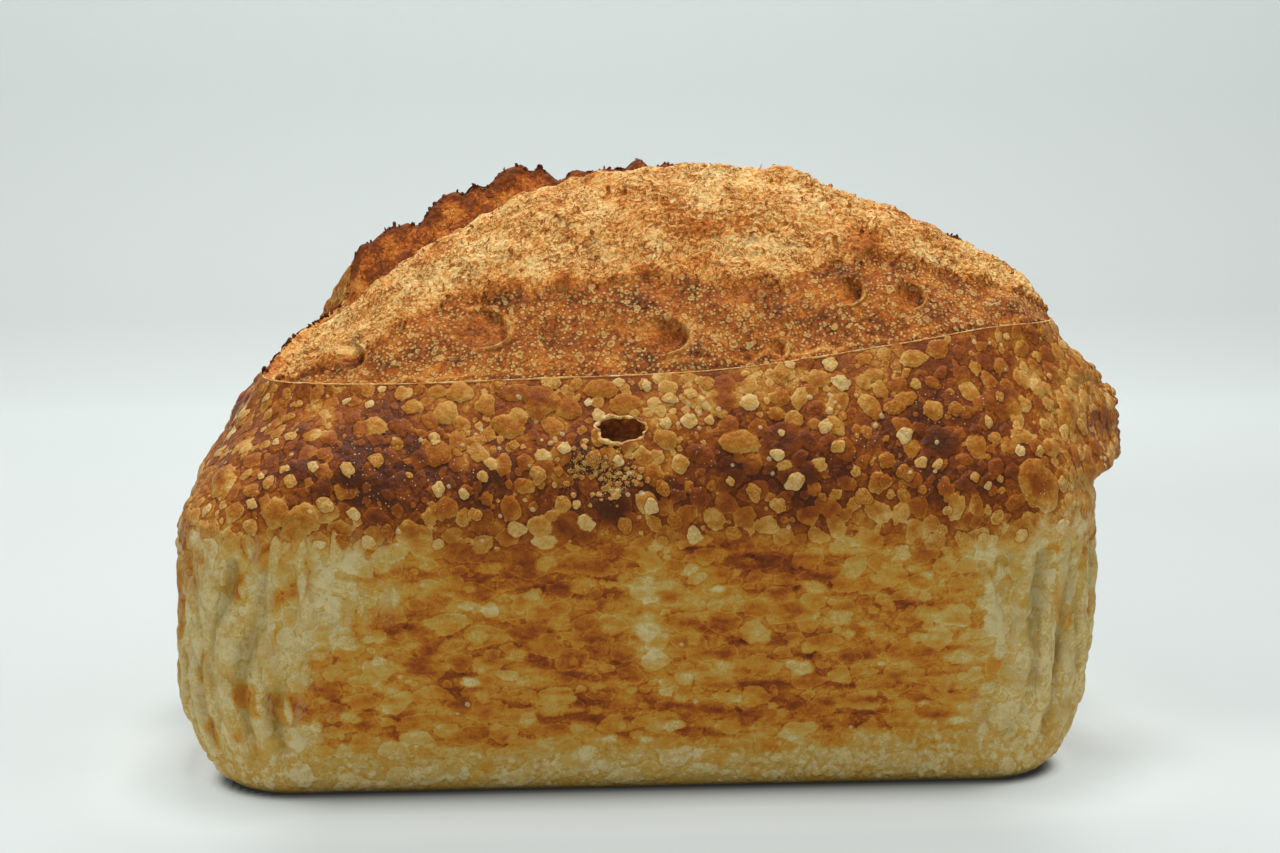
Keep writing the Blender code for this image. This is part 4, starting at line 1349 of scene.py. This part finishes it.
# painted contact shadow and shade before the loaf: the distance out from the foot and the share of white kept
FRONT_SHADES = (
    (0.000, 0.06),
    (0.003, 0.46),
    (0.006, 0.72),
    (0.010, 0.93),
    (0.017, 1.05),
    (0.029, 0.91),
    (0.040, 0.86),
    (0.080, 0.86),
    (0.200, 1.00),
)
# painted light beside the loaf's two ends, how strong it is and how far it reaches, and painted shade to the
# right
END_LIGHT = 1.7
END_REACH = 0.0105
RIGHT_SHADE = 0.09


SWEEP_SIZE = 5.0
SWEEP_RISE = 2.2
SWEEP_COLOUR = (182, 188, 187)


def sweep():
    """A level strip, a quarter circle up and a straight rise, carried sideways. It has a painted contact shadow
    under the loaf and along its foot, a little painted shade in front and to the right, and painted light
    beside both ends."""
    turn = np.linspace(0, math.pi / 2, 40)
    near = [[-SWEEP_SIZE], np.linspace(-0.3, 0.1, 201), np.linspace(0.12, FLOOR_REACH - 0.02, 30)]
    near = np.concatenate(near)
    y = np.concatenate([near, FLOOR_REACH + SWEEP_RADIUS * np.sin(turn), [FLOOR_REACH + SWEEP_RADIUS] * 2])
    z = np.concatenate([0 * near, SWEEP_RADIUS - SWEEP_RADIUS * np.cos(turn), [0.3, SWEEP_RISE]])
    x = np.concatenate([[-SWEEP_SIZE, -0.5], np.linspace(-0.3, 0.3, 301), [0.5, SWEEP_SIZE]])
    y, x = np.meshgrid(y, x, indexing="ij")
    points = np.stack([x, y, z[:, None] + 0 * x], axis=-1)
    shade = np.interp(points[..., 1] + points[..., 2], *np.array(SWEEP_SHADES).T)
    past_x = np.clip(np.abs(x) - FOOT_HALF_LENGTH + FOOT_CORNER, 0, None)
    past_y = np.clip(np.abs(y) - FOOT_HALF_WIDTH + FOOT_CORNER, 0, None)
    out = np.clip(np.hypot(past_x, past_y) - FOOT_CORNER, 0, None)
    # painted contact shadow under and before the loaf, painted light beside its two ends, painted shade to its
    # right
    at_ends = smooth(np.abs(x), 0.070, 0.105) * smooth(out, 0.0, 0.006)
    at_front = 1 - np.maximum(at_ends, smooth(y, FOOT_HALF_WIDTH - 0.002, FOOT_HALF_WIDTH + 0.004))
    shade = shade * (1 - at_front * (1 - np.interp(out, *np.array(FRONT_SHADES).T)))
    shade = shade * (1 + END_LIGHT * at_ends * np.exp(-out / END_REACH) * (1 - smooth(y, -0.005, 0.035)))
    right = smooth(x, 0.10, 0.16) * smooth(y, -0.03, 0.02) * (1 - smooth(y, 0.30, 0.58))
    shade = shade * (1 - RIGHT_SHADE * right)
    mesh = quad_mesh("sweep", points, quads_between(np.arange(x.size).reshape(x.shape)), {"shade": shade})
    recipe = Recipe("sweep_white", 0.9, 0.5)
    shade = recipe.mark("shade")
    # the white glows a little by itself: painted light that keeps shadows on the sweep light
    recipe.fill(recipe.shader, {
        "Base Color": recipe.blend(shade, (0.0, 0.0, 0.0, 1.0), SWEEP_COLOUR),
        "Emission Color": (0.95, 1.0, 0.99, 1.0),
        "Emission Strength": shade * SWEEP_GLOW,
    })
    mesh.materials.append(recipe.material)
    put_in_scene("sweep", mesh)


sweep()

# each light's name, place, the place that it faces, width, height, watts and colour
LIGHTS = (
    ("top_light", (0.0, 0.03, 1.15), (0.0, 0.0, 0.08), 0.45, 0.45, 10.6, (1.0, 0.985, 0.96)),
    ("back_light", (0.05, 0.62, 0.60), (0.0, 0.0, 0.06), 0.7, 0.3, 2.4, (1.0, 0.99, 0.97)),
    ("front_fill", (-0.25, -1.25, 0.62), (0.0, 0.0, 0.07), 1.0, 0.6, 2.0, (0.98, 0.99, 1.0)),
)
ROOM_COLOUR = (0.86, 0.93, 0.95, 1.0)
ROOM_LIGHT = 0.36


def stand(made, place, aim):
    """Puts a light or the camera at a place and turns it to face another."""
    way = np.array(aim) - np.array(place)
    made.location = place
    made.rotation_euler = (math.atan2(math.hypot(way[0], way[1]), -way[2]), 0.0, math.atan2(-way[0], way[1]))


for name, place, aim, width, height, watts, colour in LIGHTS:
    data = bpy.data.lights.new(name, "AREA")
    data.shape = "RECTANGLE"
    data.size = width
    data.size_y = height
    data.energy = watts
    data.color = colour
    stand(put_in_scene(name, data), place, aim)
world = bpy.data.worlds.new("room")
world.use_nodes = True
world.node_tree.nodes["Background"].inputs[0].default_value = ROOM_COLOUR
world.node_tree.nodes["Background"].inputs[1].default_value = ROOM_LIGHT
bpy.context.scene.world = world

# The camera
# It stands in front of the long side, a little to the left and a little above.

CAMERA_REACH = 0.620
CAMERA_RISE = math.radians(9.0)
CAMERA_TURN = math.radians(-4.0)
CAMERA_LENS = 68.88
CAMERA_SENSOR = 36.0
MIDDLE_HEIGHT = 0.072
AIM_RIGHT, AIM_UP = 0.0023, 0.0077

back = np.array([
    math.sin(CAMERA_TURN) * math.cos(CAMERA_RISE),
    -math.cos(CAMERA_TURN) * math.cos(CAMERA_RISE),
    math.sin(CAMERA_RISE),
])
middle = np.array([0, 0, MIDDLE_HEIGHT])
sideways = np.array([math.cos(CAMERA_TURN), math.sin(CAMERA_TURN), 0.0])
camera_data = bpy.data.cameras.new("camera")
camera_data.lens = CAMERA_LENS
camera_data.sensor_width = CAMERA_SENSOR
camera_data.clip_start = 0.01
camera = put_in_scene("camera", camera_data)
aim = middle + AIM_RIGHT * sideways + AIM_UP * np.cross(sideways, -back)
stand(camera, middle + back * CAMERA_REACH, aim)
bpy.context.scene.camera = camera
bpy.context.scene.view_settings.view_transform = "Standard"
